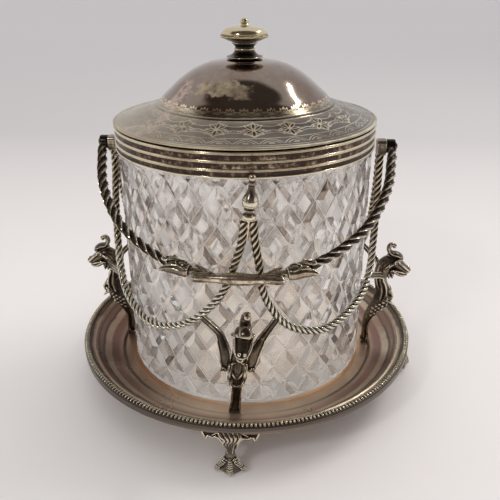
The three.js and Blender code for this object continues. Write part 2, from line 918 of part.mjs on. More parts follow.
// Lid: sloping flange with a rolled edge, bead and high dome, spun from one sheet
function lidProfile(inset, steps) {
  const base = lidSeat + rolledEdge;
  const foot = base + flangeRise;
  const crown = foot + domeRise;
  const dome = curvePoints(
    [domeRadius - 1 - inset, foot + 0.9 - inset * 0.3],
    [domeRadius * 0.82 - inset, foot + 12 - inset * 0.5],
    [domeRadius * 0.5, crown + 0.7 - inset],
    [bore(knobStudRadius + pinClearance, roundSteps), crown - inset],
    steps,
  );
  return [[domeRadius + 0.4 - inset, foot + 0.2 - inset * 0.9], ...dome];
}

function lidCover() {
  const flangeInner = lidRadius - 3;
  const outer = [
    [lidRadius - 0.5, lidSeat],
    [lidRadius, lidSeat + rolledEdge * 0.5],
    [lidRadius - 0.6, lidSeat + rolledEdge],
    [lidRadius - 1.8, lidSeat + rolledEdge - 0.1],
    ...lidProfile(0, 5),
  ];
  const inner = lidProfile(lidGauge, 3).reverse();
  return revolve(loop([...outer, ...inner, [flangeInner, lidSeat + 0.6], [flangeInner + 0.6, lidSeat]]), roundSteps);
}

// Bezel: the plain ring under the lid that drops inside the mouth of the jar
function lidBezel() {
  const outer = glassRadius - glassWall - bezelClearance;
  const inner = outer - bezelGauge;
  const slope = flangeRise / (lidRadius - domeRadius);
  const under = (radius) => lidSeat + rolledEdge + (lidRadius - 1.8 - radius) * slope - lidGauge - seatGap;
  return revolve(
    loop([
      [inner, lidSeat - bezelDepth],
      [outer, lidSeat - bezelDepth],
      [outer, under(outer)],
      [inner, under(outer)],
    ]),
    roundSteps,
  );
}

const lidCrown = lidSeat + rolledEdge + flangeRise + domeRise;

// Knob: turned foot and waisted neck on a screwed stud
function knobFoot() {
  const base = lidCrown + seatGap;
  return revolve(
    [
      [0, base - lidGauge - 5],
      [knobStudRadius, base - lidGauge - 5],
      [knobStudRadius, base],
      [knobFootRadius, base],
      [knobFootRadius, base + 0.8],
      [knobFootRadius * 0.72, base + 1.5],
      [knobFootRadius * 0.6, base + 2.6],
      [knobNeckRadius, base + 3.6],
      [knobNeckRadius * 1.12, base + 4.4],
      [knobNeckRadius, base + 5.2],
      [knobNeckRadius * 1.3, base + knobNeckHeight],
      [0, base + knobNeckHeight],
    ],
    knobSteps,
  );
}

// Button: beaded flat bun under a shallow cap
function knobButton() {
  const base = lidCrown + knobNeckHeight + seatGap * 2;
  const rise = buttonHeight;
  return revolve(
    [
      [0, base],
      [knobNeckRadius * 1.3, base],
      [buttonRadius * 0.86, base + rise * 0.2],
      [buttonRadius, base + rise * 0.33],
      [buttonRadius, base + rise * 0.48],
      [buttonRadius * 0.84, base + rise * 0.62],
      [buttonRadius * 0.5, base + rise * 0.84],
      [knobTipRadius * 1.2, base + rise],
      [0, base + rise],
    ],
    knobSteps,
  );
}

function knobTip() {
  const base = lidCrown + knobNeckHeight + buttonHeight + seatGap * 3;
  return revolve(
    [
      [0, base],
      [knobTipRadius * 0.8, base],
      [knobTipRadius, base + knobTipRadius * 0.6],
      [knobTipRadius * 0.6, base + knobTipRadius * 1.2],
      [0, base + knobTipRadius * 1.5],
    ],
    smallSteps,
  );
}

function knobNut() {
  const blank = rod(4.6, 2.2, 6);
  const hole = rod(bore(knobStudRadius + pinClearance, knobSteps), 6, knobSteps);
  return cut(blank, hole).translate(0, 0, lidCrown - lidGauge - seatGap - 1.5);
}

// Finishes
const finishes = {
  silver: { color: 0xb3aa94, roughness: 0.28, metalness: 1 },
  wornSilver: { color: 0xa8907a, roughness: 0.34, metalness: 1 },
  darkSilver: { color: 0x6f675a, roughness: 0.38, metalness: 1 },
  crystal: { color: 0xe8ebea, roughness: 0.03, metalness: 0, transparent: true, opacity: 0.45 },
  plaster: { color: 0xd8d2c4, roughness: 0.9, metalness: 0 },
};

function piece(name, geometry, finish) {
  const mesh = new THREE.Mesh(geometry, new THREE.MeshStandardMaterial(finishes[finish]));
  mesh.name = name;
  return mesh;
}

const stand = new THREE.Group();
stand.add(piece('tray', tray(), 'wornSilver'), piece('beaded_border', beadedBorder(), 'silver'));

const swags = {
  front_left: swagCurve(true, false),
  front_right: swagCurve(true, true),
  back_left: swagCurve(false, false),
  back_right: swagCurve(false, true),
};
for (const [name, curve] of Object.entries(swags)) {
  const rope = twistedRod(curve, ropeRadius, ropeRadius, ropePitch, ropeStrands);
  stand.add(piece(`rope_swag_${name}`, rope, 'darkSilver'));
}

// Quarters of the frame: azimuth, the swags on either hand, and whether they meet at a finial
const quarters = {
  front: { azimuth: -90, hands: { left: 'front_left', right: 'front_right' }, atFinial: true },
  right: { azimuth: 0, hands: { front: 'front_right', back: 'back_right' }, atFinial: false },
  back: { azimuth: 90, hands: { right: 'back_right', left: 'back_left' }, atFinial: true },
  left: { azimuth: 180, hands: { back: 'back_left', front: 'front_left' }, atFinial: false },
};
for (const [name, { azimuth, hands, atFinial }] of Object.entries(quarters)) {
  const turned = new THREE.Matrix4().makeRotationZ(azimuth * degree);
  const foot = piece(`claw_foot_${name}`, clawFoot(), 'darkSilver');
  foot.applyMatrix4(turned);
  stand.add(foot);

  const tilt = name === 'front' ? frontTilt : 0;
  const body = piece(`winged_figure_${name}`, figure(tilt), 'darkSilver');
  const nut = piece(`figure_nut_${name}`, figureNut(), 'darkSilver');
  [body, nut].forEach((part) => part.applyMatrix4(turned));
  stand.add(body, nut);
  for (const [hand, rope] of Object.entries(hands)) {
    stand.add(piece(`wing_${name}_${hand}`, wing(swags[rope], atFinial, turned, tilt), 'darkSilver'));
  }

  if (atFinial) {
    const [lean, tip] = name === 'front' ? [frontLean, finialTilt * degree] : [0, 0];
    const top = piece(`finial_${name}`, finial(), 'darkSilver');
    const lift = saddleHalfWidth * Math.sin(tip);
    top.position.copy(polar(cageRadius, azimuth + lean, bedHeight + finialSeat + lift));
    top.rotateZ((azimuth + lean) * degree).rotateX(-tip);
    stand.add(top);
  } else {
    const block = piece(`hinge_block_${name}`, hingeBlock(), 'darkSilver');
    const pin = piece(`hinge_pin_${name}`, hingePin(), 'darkSilver');
    [block, pin].forEach((part) => part.applyMatrix4(turned));
    stand.add(block, pin);
  }
}

// Handle at rest, leaning on the front ropes
const handle = new THREE.Group();
const restReach = cageRadius + ropeRadius + seatGap + gripRadius;
handle.rotation.x = Math.PI + Math.acos(restReach / handleReach);
handle.position.z = hingeLine;
handle.add(piece('handle_grip', handleGrip(), 'darkSilver'));
for (const side of ['right', 'left']) {
  const hand = side === 'right' ? 1 : -1;
  const arm = piece(`handle_arm_${side}`, handleArm(hand), 'darkSilver');
  const head = piece(`handle_head_${side}`, handleHead(hand), 'darkSilver');
  const half = new THREE.Group();
  half.add(arm, head);
  half.rotation.y = hand > 0 ? 0 : Math.PI;
  handle.add(half);
}

const jar = new THREE.Group();
jar.add(piece('glass_jar', glassJar(), 'crystal'));
jar.add(piece('jar_mount', jarMount(), 'silver'));
jar.add(piece('mount_cement', cementRing(), 'plaster'));

const lid = new THREE.Group();
lid.add(piece('lid_cover', lidCover(), 'silver'));
lid.add(piece('lid_bezel', lidBezel(), 'silver'));
lid.add(piece('knob_foot', knobFoot(), 'silver'));
lid.add(piece('knob_button', knobButton(), 'silver'));
lid.add(piece('knob_tip', knobTip(), 'silver'));
lid.add(piece('knob_nut', knobNut(), 'darkSilver'));

const barrel = new THREE.Group();
barrel.add(stand, jar, lid, handle);

export default barrel;
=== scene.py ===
import math

import bpy
import numpy as np
from mathutils import Matrix, Vector


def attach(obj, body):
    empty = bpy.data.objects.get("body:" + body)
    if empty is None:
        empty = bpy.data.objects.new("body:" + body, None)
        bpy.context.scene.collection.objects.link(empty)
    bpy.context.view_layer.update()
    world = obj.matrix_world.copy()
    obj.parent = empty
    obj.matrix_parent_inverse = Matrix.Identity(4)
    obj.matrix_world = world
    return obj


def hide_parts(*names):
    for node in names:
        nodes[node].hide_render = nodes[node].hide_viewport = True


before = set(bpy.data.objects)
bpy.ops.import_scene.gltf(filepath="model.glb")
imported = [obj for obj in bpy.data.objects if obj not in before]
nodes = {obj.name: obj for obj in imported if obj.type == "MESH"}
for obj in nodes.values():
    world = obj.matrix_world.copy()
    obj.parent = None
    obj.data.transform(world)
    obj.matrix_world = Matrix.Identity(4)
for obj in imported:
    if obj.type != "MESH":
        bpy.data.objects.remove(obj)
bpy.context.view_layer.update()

# Driving sizes in millimetres, in the row frame

BED = 17.5  # top of the tray's bed
CAGE = 74.55  # radius of the ropes' middle line
ROPE = 1.95
HINGE_Z = 143.1
REACH = 91.2  # from the hinge to the grip
GRIP = 3.2
SKEW = 0.033  # lean of the handle's bow to the right
GAP = 0.3  # clearance between pieces that meet
REST = math.acos((CAGE + ROPE + GAP + GRIP) / REACH)  # the grip lies on the front ropes
TAU = 2 * math.pi

# Lines


def unit(v):
    v = np.asarray(v, float)
    return v / np.maximum(np.linalg.norm(v, axis=-1, keepdims=True), 1e-12)


def overshot(points):
    """The points with one more beyond each end."""
    p = np.asarray(points, float)
    return np.vstack([2 * p[0] - p[1], p, 2 * p[-1] - p[-2]])


def ease(rows, sub):
    """Catmull-Rom through rows of numbers, sub steps between neighbours."""
    p = overshot(rows)
    t = np.linspace(0, 1, sub, endpoint=False)[:, None]
    out = []
    for a, b, c, d in zip(p, p[1:], p[2:], p[3:]):
        out.append(0.5 * (2 * b + (c - a) * t + (2 * a - 5 * b + 4 * c - d) * t**2
                          + (3 * b - a - 3 * c + d) * t**3))
    return np.vstack(out + [p[-2][None]])


def centripetal(points, count):
    """Centripetal Catmull-Rom curve, resampled evenly by length."""
    p = overshot(points)
    out = []
    for k in range(1, len(p) - 2):
        q = p[k - 1:k + 3]
        t = np.concatenate([[0], np.cumsum(np.sqrt(np.linalg.norm(np.diff(q, axis=0), axis=1)))])
        s = np.linspace(t[1], t[2], 40, endpoint=False)[:, None]

        def blend(a, b, i, j):
            return (t[j] - s) / (t[j] - t[i]) * a + (s - t[i]) / (t[j] - t[i]) * b

        a1, a2, a3 = [blend(q[i], q[i + 1], i, i + 1) for i in range(3)]
        out.append(blend(blend(a1, a2, 0, 2), blend(a2, a3, 1, 3), 1, 2))
    return resample(np.vstack(out + [p[-2][None]]), count)


def run_along(line):
    """Length from a line's start to each of its points."""
    return np.concatenate([[0], np.cumsum(np.linalg.norm(np.diff(line, axis=0), axis=1))])


def resample(line, count):
    run = run_along(line)
    at = np.linspace(0, run[-1], count)
    return np.stack([np.interp(at, run, column) for column in line.T], 1)


def length_of(line):
    return float(np.linalg.norm(np.diff(line, axis=0), axis=1).sum())


def transport(line, hint):
    """Normals and binormals along a line, without twist."""
    tangent = unit(np.gradient(line, axis=0))
    normal = np.empty_like(tangent)
    n = np.asarray(hint, float)
    n = n - n.dot(tangent[0]) * tangent[0]
    if np.linalg.norm(n) < 1e-6:
        n = np.array([1.0, 0, 0]) - tangent[0][0] * tangent[0]
    normal[0] = unit(n)
    for k in range(1, len(line)):
        normal[k] = unit(normal[k - 1] - normal[k - 1].dot(tangent[k]) * tangent[k])
    return normal, np.cross(tangent, normal)


def turn_z(points, degrees):
    a = math.radians(degrees)
    c, s = math.cos(a), math.sin(a)
    return np.asarray(points) @ np.array([[c, -s, 0], [s, c, 0], [0, 0, 1]]).T


# Forms, each a pair of points in millimetres and a list of arrays of faces


def grid(rows, loop=False):
    """Skin over closed rows of points: a loop joins the last row to the first, else both ends are capped."""
    rows = np.asarray(rows, float)
    n, m = rows.shape[:2]
    verts = rows.reshape(-1, 3)
    i = np.arange(m)
    j = (i + 1) % m
    faces = []
    for k in range(n if loop else n - 1):
        a, b = k * m, (k + 1) % n * m
        faces.append(np.stack([a + i, a + j, b + j, b + i], 1))
    out = [np.vstack(faces)]
    if not loop:
        low, last = len(verts), (n - 1) * m
        verts = np.vstack([verts, rows[0].mean(0), rows[-1].mean(0)])
        out.append(np.stack([j, i, np.full(m, low)], 1))
        out.append(np.stack([last + i, last + j, np.full(m, low + 1)], 1))
    return verts, out


def outward(part):
    """The form with its faces turned to the outside."""
    v, faces = part
    total = 0.0
    for f in faces:
        for k in range(1, f.shape[1] - 1):
            total += np.einsum("ij,ij->i", v[f[:, 0]], np.cross(v[f[:, k]], v[f[:, k + 1]])).sum()
    return part if total > 0 else (v, [f[:, ::-1] for f in faces])


def skin(rows):
    return outward(grid(rows))


def rings(profile, a):
    """Rows of points: a profile of (radius, height) at every angle."""
    r, z = np.asarray(profile, float).T
    return np.stack([np.outer(r, np.cos(a)), np.outer(r, np.sin(a)), np.repeat(z[:, None], len(a), 1)], 2)


def lathe(profile, steps, closed=True):
    """Turns a profile round Z. Closed joins its ends, else they lie on the axis."""
    a = np.linspace(0, TAU, steps, endpoint=False)
    if closed:
        return grid(rings(profile, a), loop=True)
    verts, faces = grid(rings(profile[1:-1], a))
    verts[-2:] = [(0, 0, profile[0][1]), (0, 0, profile[-1][1])]
    return verts, faces


def soft(points, sub=6):
    """Rounded profile through points; a doubled point stays a corner."""
    runs = [[points[0]]]
    for p in points[1:]:
        if tuple(p) == tuple(runs[-1][-1]):
            runs.append([p])
        else:
            runs[-1].append(p)
    out = []
    for run in runs:
        part = ease(run, sub) if len(run) > 2 else np.asarray(run, float)
        if out and np.allclose(out[-1][-1], part[0]):
            part = part[1:]
        if len(part):
            out.append(part)
    return np.vstack(out)


def join(parts):
    verts, faces, base = [], [], 0
    for v, fs in parts:
        verts.append(v)
        faces += [f + base for f in fs]
        base += len(v)
    return np.vstack(verts), faces


def spun(part, degrees):
    return turn_z(part[0], degrees), part[1]


def ring_of(part, count):
    """Copies of a form all round Z."""
    return join([spun(part, k * 360 / count) for k in range(count)])


def along_x(part):
    """A form made round Z, laid round X."""
    return part[0][:, [2, 0, 1]], part[1]


def loft(stations, corners=20, sub=6, power=2.0, side=(0, 1, 0)):
    """Form through stations (x, y, z, half thickness, half width); side is the width's direction."""
    s = ease(stations, sub)
    line = s[:, :3]
    ahead = unit(np.gradient(line, axis=0))
    side = np.asarray(side, float)
    wide = unit(side - (ahead @ side)[:, None] * ahead)
    thick = np.cross(ahead, wide)
    a = np.linspace(0, TAU, corners, endpoint=False)
    ca, sa = [np.sign(v) * np.abs(v) ** (2 / power) for v in (np.cos(a), np.sin(a))]
    h = np.maximum(s[:, 3:5], 0.05)
    return skin(line[:, None] + thick[:, None] * (h[:, 0:1] * ca)[..., None]
                + wide[:, None] * (h[:, 1:2] * sa)[..., None])


def wrap(line, angle, reach, hint=(0, 0, 1)):
    """Skin round a line. Angle and reach hold a row for each of its points."""
    n, b = transport(line, hint)
    spoke = n[:, None] * np.cos(angle)[..., None] + b[:, None] * np.sin(angle)[..., None]
    return skin(line[:, None] + reach[..., None] * spoke)


def tube(line, radius, corners=8, count=None):
    """Round bar along a curve; radius is one number or several from start to end."""
    line = centripetal(line, count or max(8, 6 * len(line)))
    at, stops = [np.linspace(0, 1, size) for size in (len(line), np.size(radius))]
    radius = np.interp(at, stops, np.atleast_1d(radius))
    a = np.linspace(0, TAU, corners, endpoint=False)
    return wrap(line, a[None], radius[:, None], (0.3, 0.2, 1))


def blob(centre, size, steps=14):
    """Ellipsoid of three half sizes."""
    a = np.linspace(0, math.pi, steps // 2 + 2)
    verts, faces = lathe(np.stack([np.sin(a), -np.cos(a)], 1), steps, closed=False)
    return outward((verts * size + centre, faces))


# Pieces


def read(items, key, width, kind=np.float32):
    flat = np.empty(len(items) * width, kind)
    items.foreach_get(key, flat)
    return flat.reshape(-1, width)


def arrays(mesh):
    """Points in millimetres, normals and edges."""
    co, no = [read(mesh.vertices, key, 3).astype(float) for key in ("co", "normal")]
    return co * 1000, no, read(mesh.edges, "vertices", 2, np.int32)


def averaged(values, edges, rounds):
    """Values drawn half way to the mean of their neighbours, round by round."""
    values = values.astype(float)
    a, b = edges.T
    size = len(values)
    count = np.maximum(np.bincount(edges.ravel(), minlength=size), 1)[:, None]
    for _ in range(rounds):
        total = [np.bincount(a, v[b], size) + np.bincount(b, v[a], size) for v in values.T]
        values = 0.5 * values + 0.5 * np.stack(total, 1) / count
    return values


def make_mesh(name, part):
    verts, faces = part
    mesh = bpy.data.meshes.new(name)
    mesh.vertices.add(len(verts))
    mesh.vertices.foreach_set("co", (np.asarray(verts) * 0.001).astype(np.float32).ravel())
    loops = np.concatenate([f.ravel() for f in faces]).astype(np.int32)
    sizes = np.concatenate([np.full(len(f), f.shape[1], np.int32) for f in faces])
    mesh.loops.add(len(loops))
    mesh.loops.foreach_set("vertex_index", loops)
    mesh.polygons.add(len(sizes))
    starts = np.concatenate([[0], np.cumsum(sizes)[:-1]]).astype(np.int32)
    mesh.polygons.foreach_set("loop_start", starts)
    mesh.update(calc_edges=True)
    mesh.validate()
    return mesh


def linked(name, data):
    obj = bpy.data.objects.new(name, data)
    bpy.context.scene.collection.objects.link(obj)
    return obj


def fused(parts, voxel, rounds=1):
    """One closed skin round overlapping closed forms."""
    mesh = make_mesh("rough", join(parts))
    obj = linked("rough", mesh)
    mod = obj.modifiers.new("fuse", "REMESH")
    mod.mode = "VOXEL"
    mod.voxel_size = voxel * 0.001
    got = obj.evaluated_get(bpy.context.evaluated_depsgraph_get()).to_mesh()
    co, _, ed = arrays(got)
    quads = read(got.loops, "vertex_index", 1, np.int32).reshape(-1, 4)
    obj.to_mesh_clear()
    bpy.data.objects.remove(obj)
    bpy.data.meshes.remove(mesh)
    return averaged(co, ed, rounds), [quads]


def set_wear_and_light(mesh, wear_and_light):
    """Point attribute wear_and_light: curvature wear, 1 on raised edges and 0 in hollows, or given values,
    which on some pieces are painted light and shade. The argument is (rounds, scale) or the values.
    """
    if isinstance(wear_and_light, tuple):
        rounds, scale = wear_and_light
        co, no, ed = arrays(mesh)
        dip = ((averaged(co, ed, rounds) - co) * no).sum(1)
        wear_and_light = averaged(np.clip(0.5 - dip / scale, 0, 1)[:, None], ed, 1)[:, 0]
    layer = mesh.attributes.new("wear_and_light", "FLOAT", "POINT")
    layer.data.foreach_set("value", np.asarray(wear_and_light, np.float32))


def piece(name, part, body, node, material, wear_and_light, angle=None):
    """Visible piece that takes the place of a CAD node."""
    mesh = make_mesh(name, part)
    obj = linked(name, mesh)
    mesh.shade_smooth()
    if angle:
        mesh.set_sharp_from_angle(angle=math.radians(angle))
    set_wear_and_light(mesh, wear_and_light)
    mesh.materials.append(material)
    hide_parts(node)
    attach(obj, body)
    return obj


def dress(node, material):
    """Own material for a carried-over CAD node."""
    nodes[node].data.materials.clear()
    nodes[node].data.materials.append(material)


# Materials


class Graph:
    """Node graph of a material on the object's own coordinates."""

    def __init__(self, name):
        self.mat = bpy.data.materials.new(name)
        self.mat.use_nodes = True
        self.tree = self.mat.node_tree
        self.tree.nodes.clear()
        out = self.add("ShaderNodeOutputMaterial")
        self.bsdf = self.add("ShaderNodeBsdfPrincipled")
        self.put(out.inputs[0], self.bsdf.outputs[0])
        self.place = self.add("ShaderNodeTexCoord").outputs["Object"]

    def add(self, kind, **inputs):
        node = self.tree.nodes.new(kind)
        for key, value in inputs.items():
            self.put(node.inputs[key.replace("_", " ")], value)
        return node

    def put(self, socket, value):
        if isinstance(value, bpy.types.NodeSocket):
            self.tree.links.new(value, socket)
        elif isinstance(value, tuple):
            socket.default_value = (*value, 1)
        else:
            socket.default_value = value

    def xyz(self):
        return self.add("ShaderNodeSeparateXYZ", Vector=self.place).outputs

    def noise(self, scale, detail=3, rough=0.55, distort=0.0):
        node = self.add("ShaderNodeTexNoise", Scale=scale, Detail=detail, Roughness=rough, Distortion=distort)
        self.put(node.inputs["Vector"], self.place)
        return node.outputs["Fac"]

    def math(self, kind, a, b=0.0):
        node = self.tree.nodes.new("ShaderNodeMath")
        node.operation = kind
        self.put(node.inputs[0], a)
        self.put(node.inputs[1], b)
        return node.outputs[0]

    def plus(self, a, b):
        return self.math("ADD", a, b)

    def times(self, a, b):
        return self.math("MULTIPLY", a, b)

    def middled(self, cloud):
        return self.math("SUBTRACT", cloud, 0.5)

    def jitter(self, level, cloud, amount):
        """Level with a share of a noise about its middle added."""
        return self.plus(level, self.times(self.middled(cloud), amount))

    def ramp(self, fac, *stops):
        node = self.tree.nodes.new("ShaderNodeValToRGB")
        while len(node.color_ramp.elements) < len(stops):
            node.color_ramp.elements.new(0.5)
        for element, (at, colour) in zip(node.color_ramp.elements, stops):
            element.position = at
            element.color = (*colour, 1)
        self.put(node.inputs[0], fac)
        return node.outputs[0]

    def span(self, value, low, high, to_low=0.0, to_high=1.0, kind="SMOOTHSTEP"):
        node = self.tree.nodes.new("ShaderNodeMapRange")
        node.interpolation_type = kind
        for socket, v in zip(node.inputs, (value, low, high, to_low, to_high)):
            self.put(socket, v)
        return node.outputs[0]

    def mix(self, fac, a, b, kind="MIX"):
        node = self.tree.nodes.new("ShaderNodeMix")
        node.data_type = "RGBA"
        node.blend_type = kind
        for socket, v in zip((node.inputs[0], node.inputs[6], node.inputs[7]), (fac, a, b)):
            self.put(socket, v)
        return node.outputs[2]

    def attribute(self, name):
        node = self.add("ShaderNodeAttribute")
        node.attribute_name = name
        return node.outputs["Fac"]

    def bump(self, height, strength, distance=0.0002):
        node = self.add("ShaderNodeBump", Strength=strength, Distance=distance)
        self.put(node.inputs["Height"], height)
        self.put(self.bsdf.inputs["Normal"], node.outputs[0])

    def finish(self, colour, rough, metal=1.0):
        for key, value in (("Base Color", colour), ("Roughness", rough), ("Metallic", metal)):
            self.put(self.bsdf.inputs[key], value)
        return self.mat


def plate(name, bright, mid, dark, span=(0.35, 0.7), blotch=0.25, rough=(0.2, 0.42), bump=0.15):
    """Tarnished silver plate: bright on worn edges, dark in hollows, with clouded patina."""
    g = Graph(name)
    speck = g.noise(420.0, 3, 0.6)
    level = g.jitter(g.attribute("wear_and_light"), g.noise(55.0, 4, 0.6), blotch * 2)
    level = g.span(g.jitter(level, speck, blotch), *span)
    colour = g.ramp(level, (0.0, dark), (0.5, mid), (1.0, bright))
    colour = g.mix(g.span(g.noise(28.0, 2), 0.45, 0.65, 0.0, 0.35), colour, (0.62, 0.47, 0.33), "MULTIPLY")
    scratch = g.noise(900.0, 2, 0.7, 0.4)
    g.bump(g.plus(g.times(speck, 0.6), g.times(scratch, 0.4)), bump)
    return g.finish(colour, g.plus(g.span(level, 0, 1, *rough[::-1]), g.span(scratch, 0.3, 0.8, 0, 0.08)))


CREAM = (0.80, 0.73, 0.57)
BLACK = (0.045, 0.038, 0.033)
UMBER = (0.2, 0.165, 0.13)
dark_plate = plate("dark_silver_plate", CREAM, (0.20, 0.16, 0.12), BLACK, (0.4, 0.8), 0.2, (0.14, 0.3), 0.1)
foot_plate = plate("foot_silver_plate", (0.78, 0.72, 0.58), (0.24, 0.2, 0.165), (0.05, 0.042, 0.036),
                   (0.34, 0.8), 0.16, (0.16, 0.3), 0.1)
black_plate = plate("black_silver_plate", (0.76, 0.68, 0.53), UMBER, BLACK, (0.3, 0.72))
bright_plate = plate("silver_plate", (0.83, 0.77, 0.60), (0.5, 0.43, 0.32), (0.12, 0.1, 0.08),
                     (0.2, 0.7), 0.3)
handle_plate = plate("handle_silver_plate", CREAM, UMBER, BLACK, (0.45, 0.8), 0.15, (0.14, 0.25), 0.06)
head_plate = plate("head_silver_plate", CREAM, (0.3, 0.245, 0.185), BLACK,
                   (0.3, 0.75), 0.2, (0.16, 0.3), 0.08)
grip_plate = plate("grip_silver_plate", (0.86, 0.77, 0.62), (0.36, 0.285, 0.21), (0.09, 0.07, 0.055),
                   (0.25, 0.66), 0.5, (0.18, 0.3), 0.06)
knob_plate = plate("knob_silver_plate", (0.74, 0.66, 0.45), (0.55, 0.46, 0.3), (0.07, 0.06, 0.05),
                   (0.12, 0.62), 0.15, (0.16, 0.26), 0.05)
stem_plate = plate("stem_silver_plate", (0.62, 0.54, 0.4), (0.16, 0.13, 0.105), BLACK,
                   (0.42, 0.75), 0.12, (0.1, 0.2), 0.04)


def mount_material():
    """Bright reeds with ragged dark bands between them."""
    g = Graph("mount_silver_plate")
    ragged = g.times(g.middled(g.noise(420.0, 5, 0.72)), 1.5)
    level = g.plus(g.attribute("wear_and_light"), g.jitter(ragged, g.noise(120.0, 4, 0.6), 0.9))
    colour = g.ramp(level, (0.22, (0.055, 0.038, 0.032)), (0.38, (0.15, 0.10, 0.075)),
                    (0.5, (0.36, 0.28, 0.2)), (0.8, (0.76, 0.68, 0.5)))
    g.bump(g.noise(600.0, 3), 0.1)
    return g.finish(colour, g.span(level, 0.3, 0.7, 0.36, 0.17), 0.95)


def rope_material():
    """Strands bright along the low swags, brown along the uprights."""
    g = Graph("rope_silver_plate")
    cloud, speck = g.noise(70.0, 4, 0.6), g.noise(500.0, 3, 0.6)
    level = g.jitter(g.jitter(g.attribute("wear_and_light"), cloud, 0.35), speck, 0.3)
    low = g.ramp(level, (0.2, BLACK), (0.5, (0.33, 0.29, 0.22)), (0.85, (0.80, 0.77, 0.64)))
    high = g.ramp(level, (0.3, BLACK), (0.62, (0.16, 0.125, 0.095)), (0.95, (0.66, 0.57, 0.42)))
    colour = g.mix(g.span(g.plus(g.xyz()[2], g.times(cloud, 0.02)), 0.088, 0.108), low, high)
    g.bump(speck, 0.1)
    return g.finish(colour, g.span(cloud, 0.35, 0.65, 0.26, 0.16))


def lid_material():
    """Engraved plate: wear_and_light 0.5 is the ground, 1 a cut line painted bright as a glint, and 0 a dark
    hollow.
    """
    g = Graph("engraved_silver_plate")
    x, y, z = g.xyz()
    cloud, fine = g.noise(34.0, 5, 0.62), g.noise(300.0, 3, 0.6)
    wear_and_light = g.attribute("wear_and_light")
    worn = g.math("SUBTRACT", 1.0, g.times(g.span(cloud, 0.4, 0.7), g.span(wear_and_light, 0.6, 0.9, 0.0, 0.3)))
    level = g.jitter(g.times(wear_and_light, worn), fine, 0.2)
    colour = g.ramp(level, (0.1, (0.04, 0.033, 0.028)), (0.3, (0.10, 0.083, 0.072)),
                    (0.44, (0.155, 0.135, 0.117)), (0.56, (0.20, 0.175, 0.15)),
                    (0.72, (0.42, 0.37, 0.28)), (0.95, (0.76, 0.68, 0.50)))
    colour = g.mix(g.span(cloud, 0.42, 0.68, 0.0, 0.6), colour, (0.62, 0.44, 0.34), "MULTIPLY")
    colour = g.mix(g.span(x, 0.0, 0.06, 0.0, 0.6), colour, (0.84, 0.92, 1.0), "MULTIPLY")
    colour = g.mix(g.span(z, 0.1685, 0.171), colour, (1.75, 1.65, 1.6), "MULTIPLY")
    leftward = g.span(g.plus(x, g.times(cloud, 0.03)), 0.02, -0.045, 0.0, 0.5)
    colour = g.mix(g.times(leftward, g.span(z, 0.1705, 0.1665)), colour, (0.60, 0.53, 0.39))
    # bleached patch on the front of the dome, and a broken streak left of it
    degrees = g.times(g.math("ARCTAN2", x, g.times(y, -1.0)), 57.3)
    shift = g.middled(g.noise(95.0, 6, 0.72))

    def from_middle(value, middle, wander):
        return g.math("ABSOLUTE", g.plus(value, g.plus(middle, g.times(shift, wander))))

    across, height = from_middle(degrees, 11.5, 34.0), from_middle(z, -0.1781, 0.012)
    patch = g.times(g.span(across, 27.0, 19.0), g.span(height, 0.0038, 0.0024))
    streak = g.times(g.span(from_middle(degrees, 46.0, 50.0), 11.0, 5.0), g.span(z, 0.1815, 0.1785))
    streak = g.times(streak, g.span(g.plus(shift, g.times(fine, 0.5)), 0.2, 0.36))
    colour = g.mix(g.times(streak, 0.7), colour, (0.66, 0.50, 0.42))
    bleached = g.ramp(g.plus(g.times(fine, 0.5), g.times(cloud, 0.5)),
                      (0.4, (0.42, 0.31, 0.22)), (0.6, (0.78, 0.66, 0.48)))
    colour = g.mix(g.times(patch, g.span(fine, 0.25, 0.5, 0.55, 0.96)), colour, bleached)
    g.bump(g.plus(fine, g.noise(900.0, 2)), 0.05)
    rough = g.times(g.span(level, 0.55, 0.9, 0.1, 0.28), g.span(z, 0.1665, 0.169, 1.6, 0.9))
    return g.finish(colour, g.plus(g.plus(rough, g.times(patch, 0.4)), g.span(cloud, 0.4, 0.7, 0.0, 0.06)))


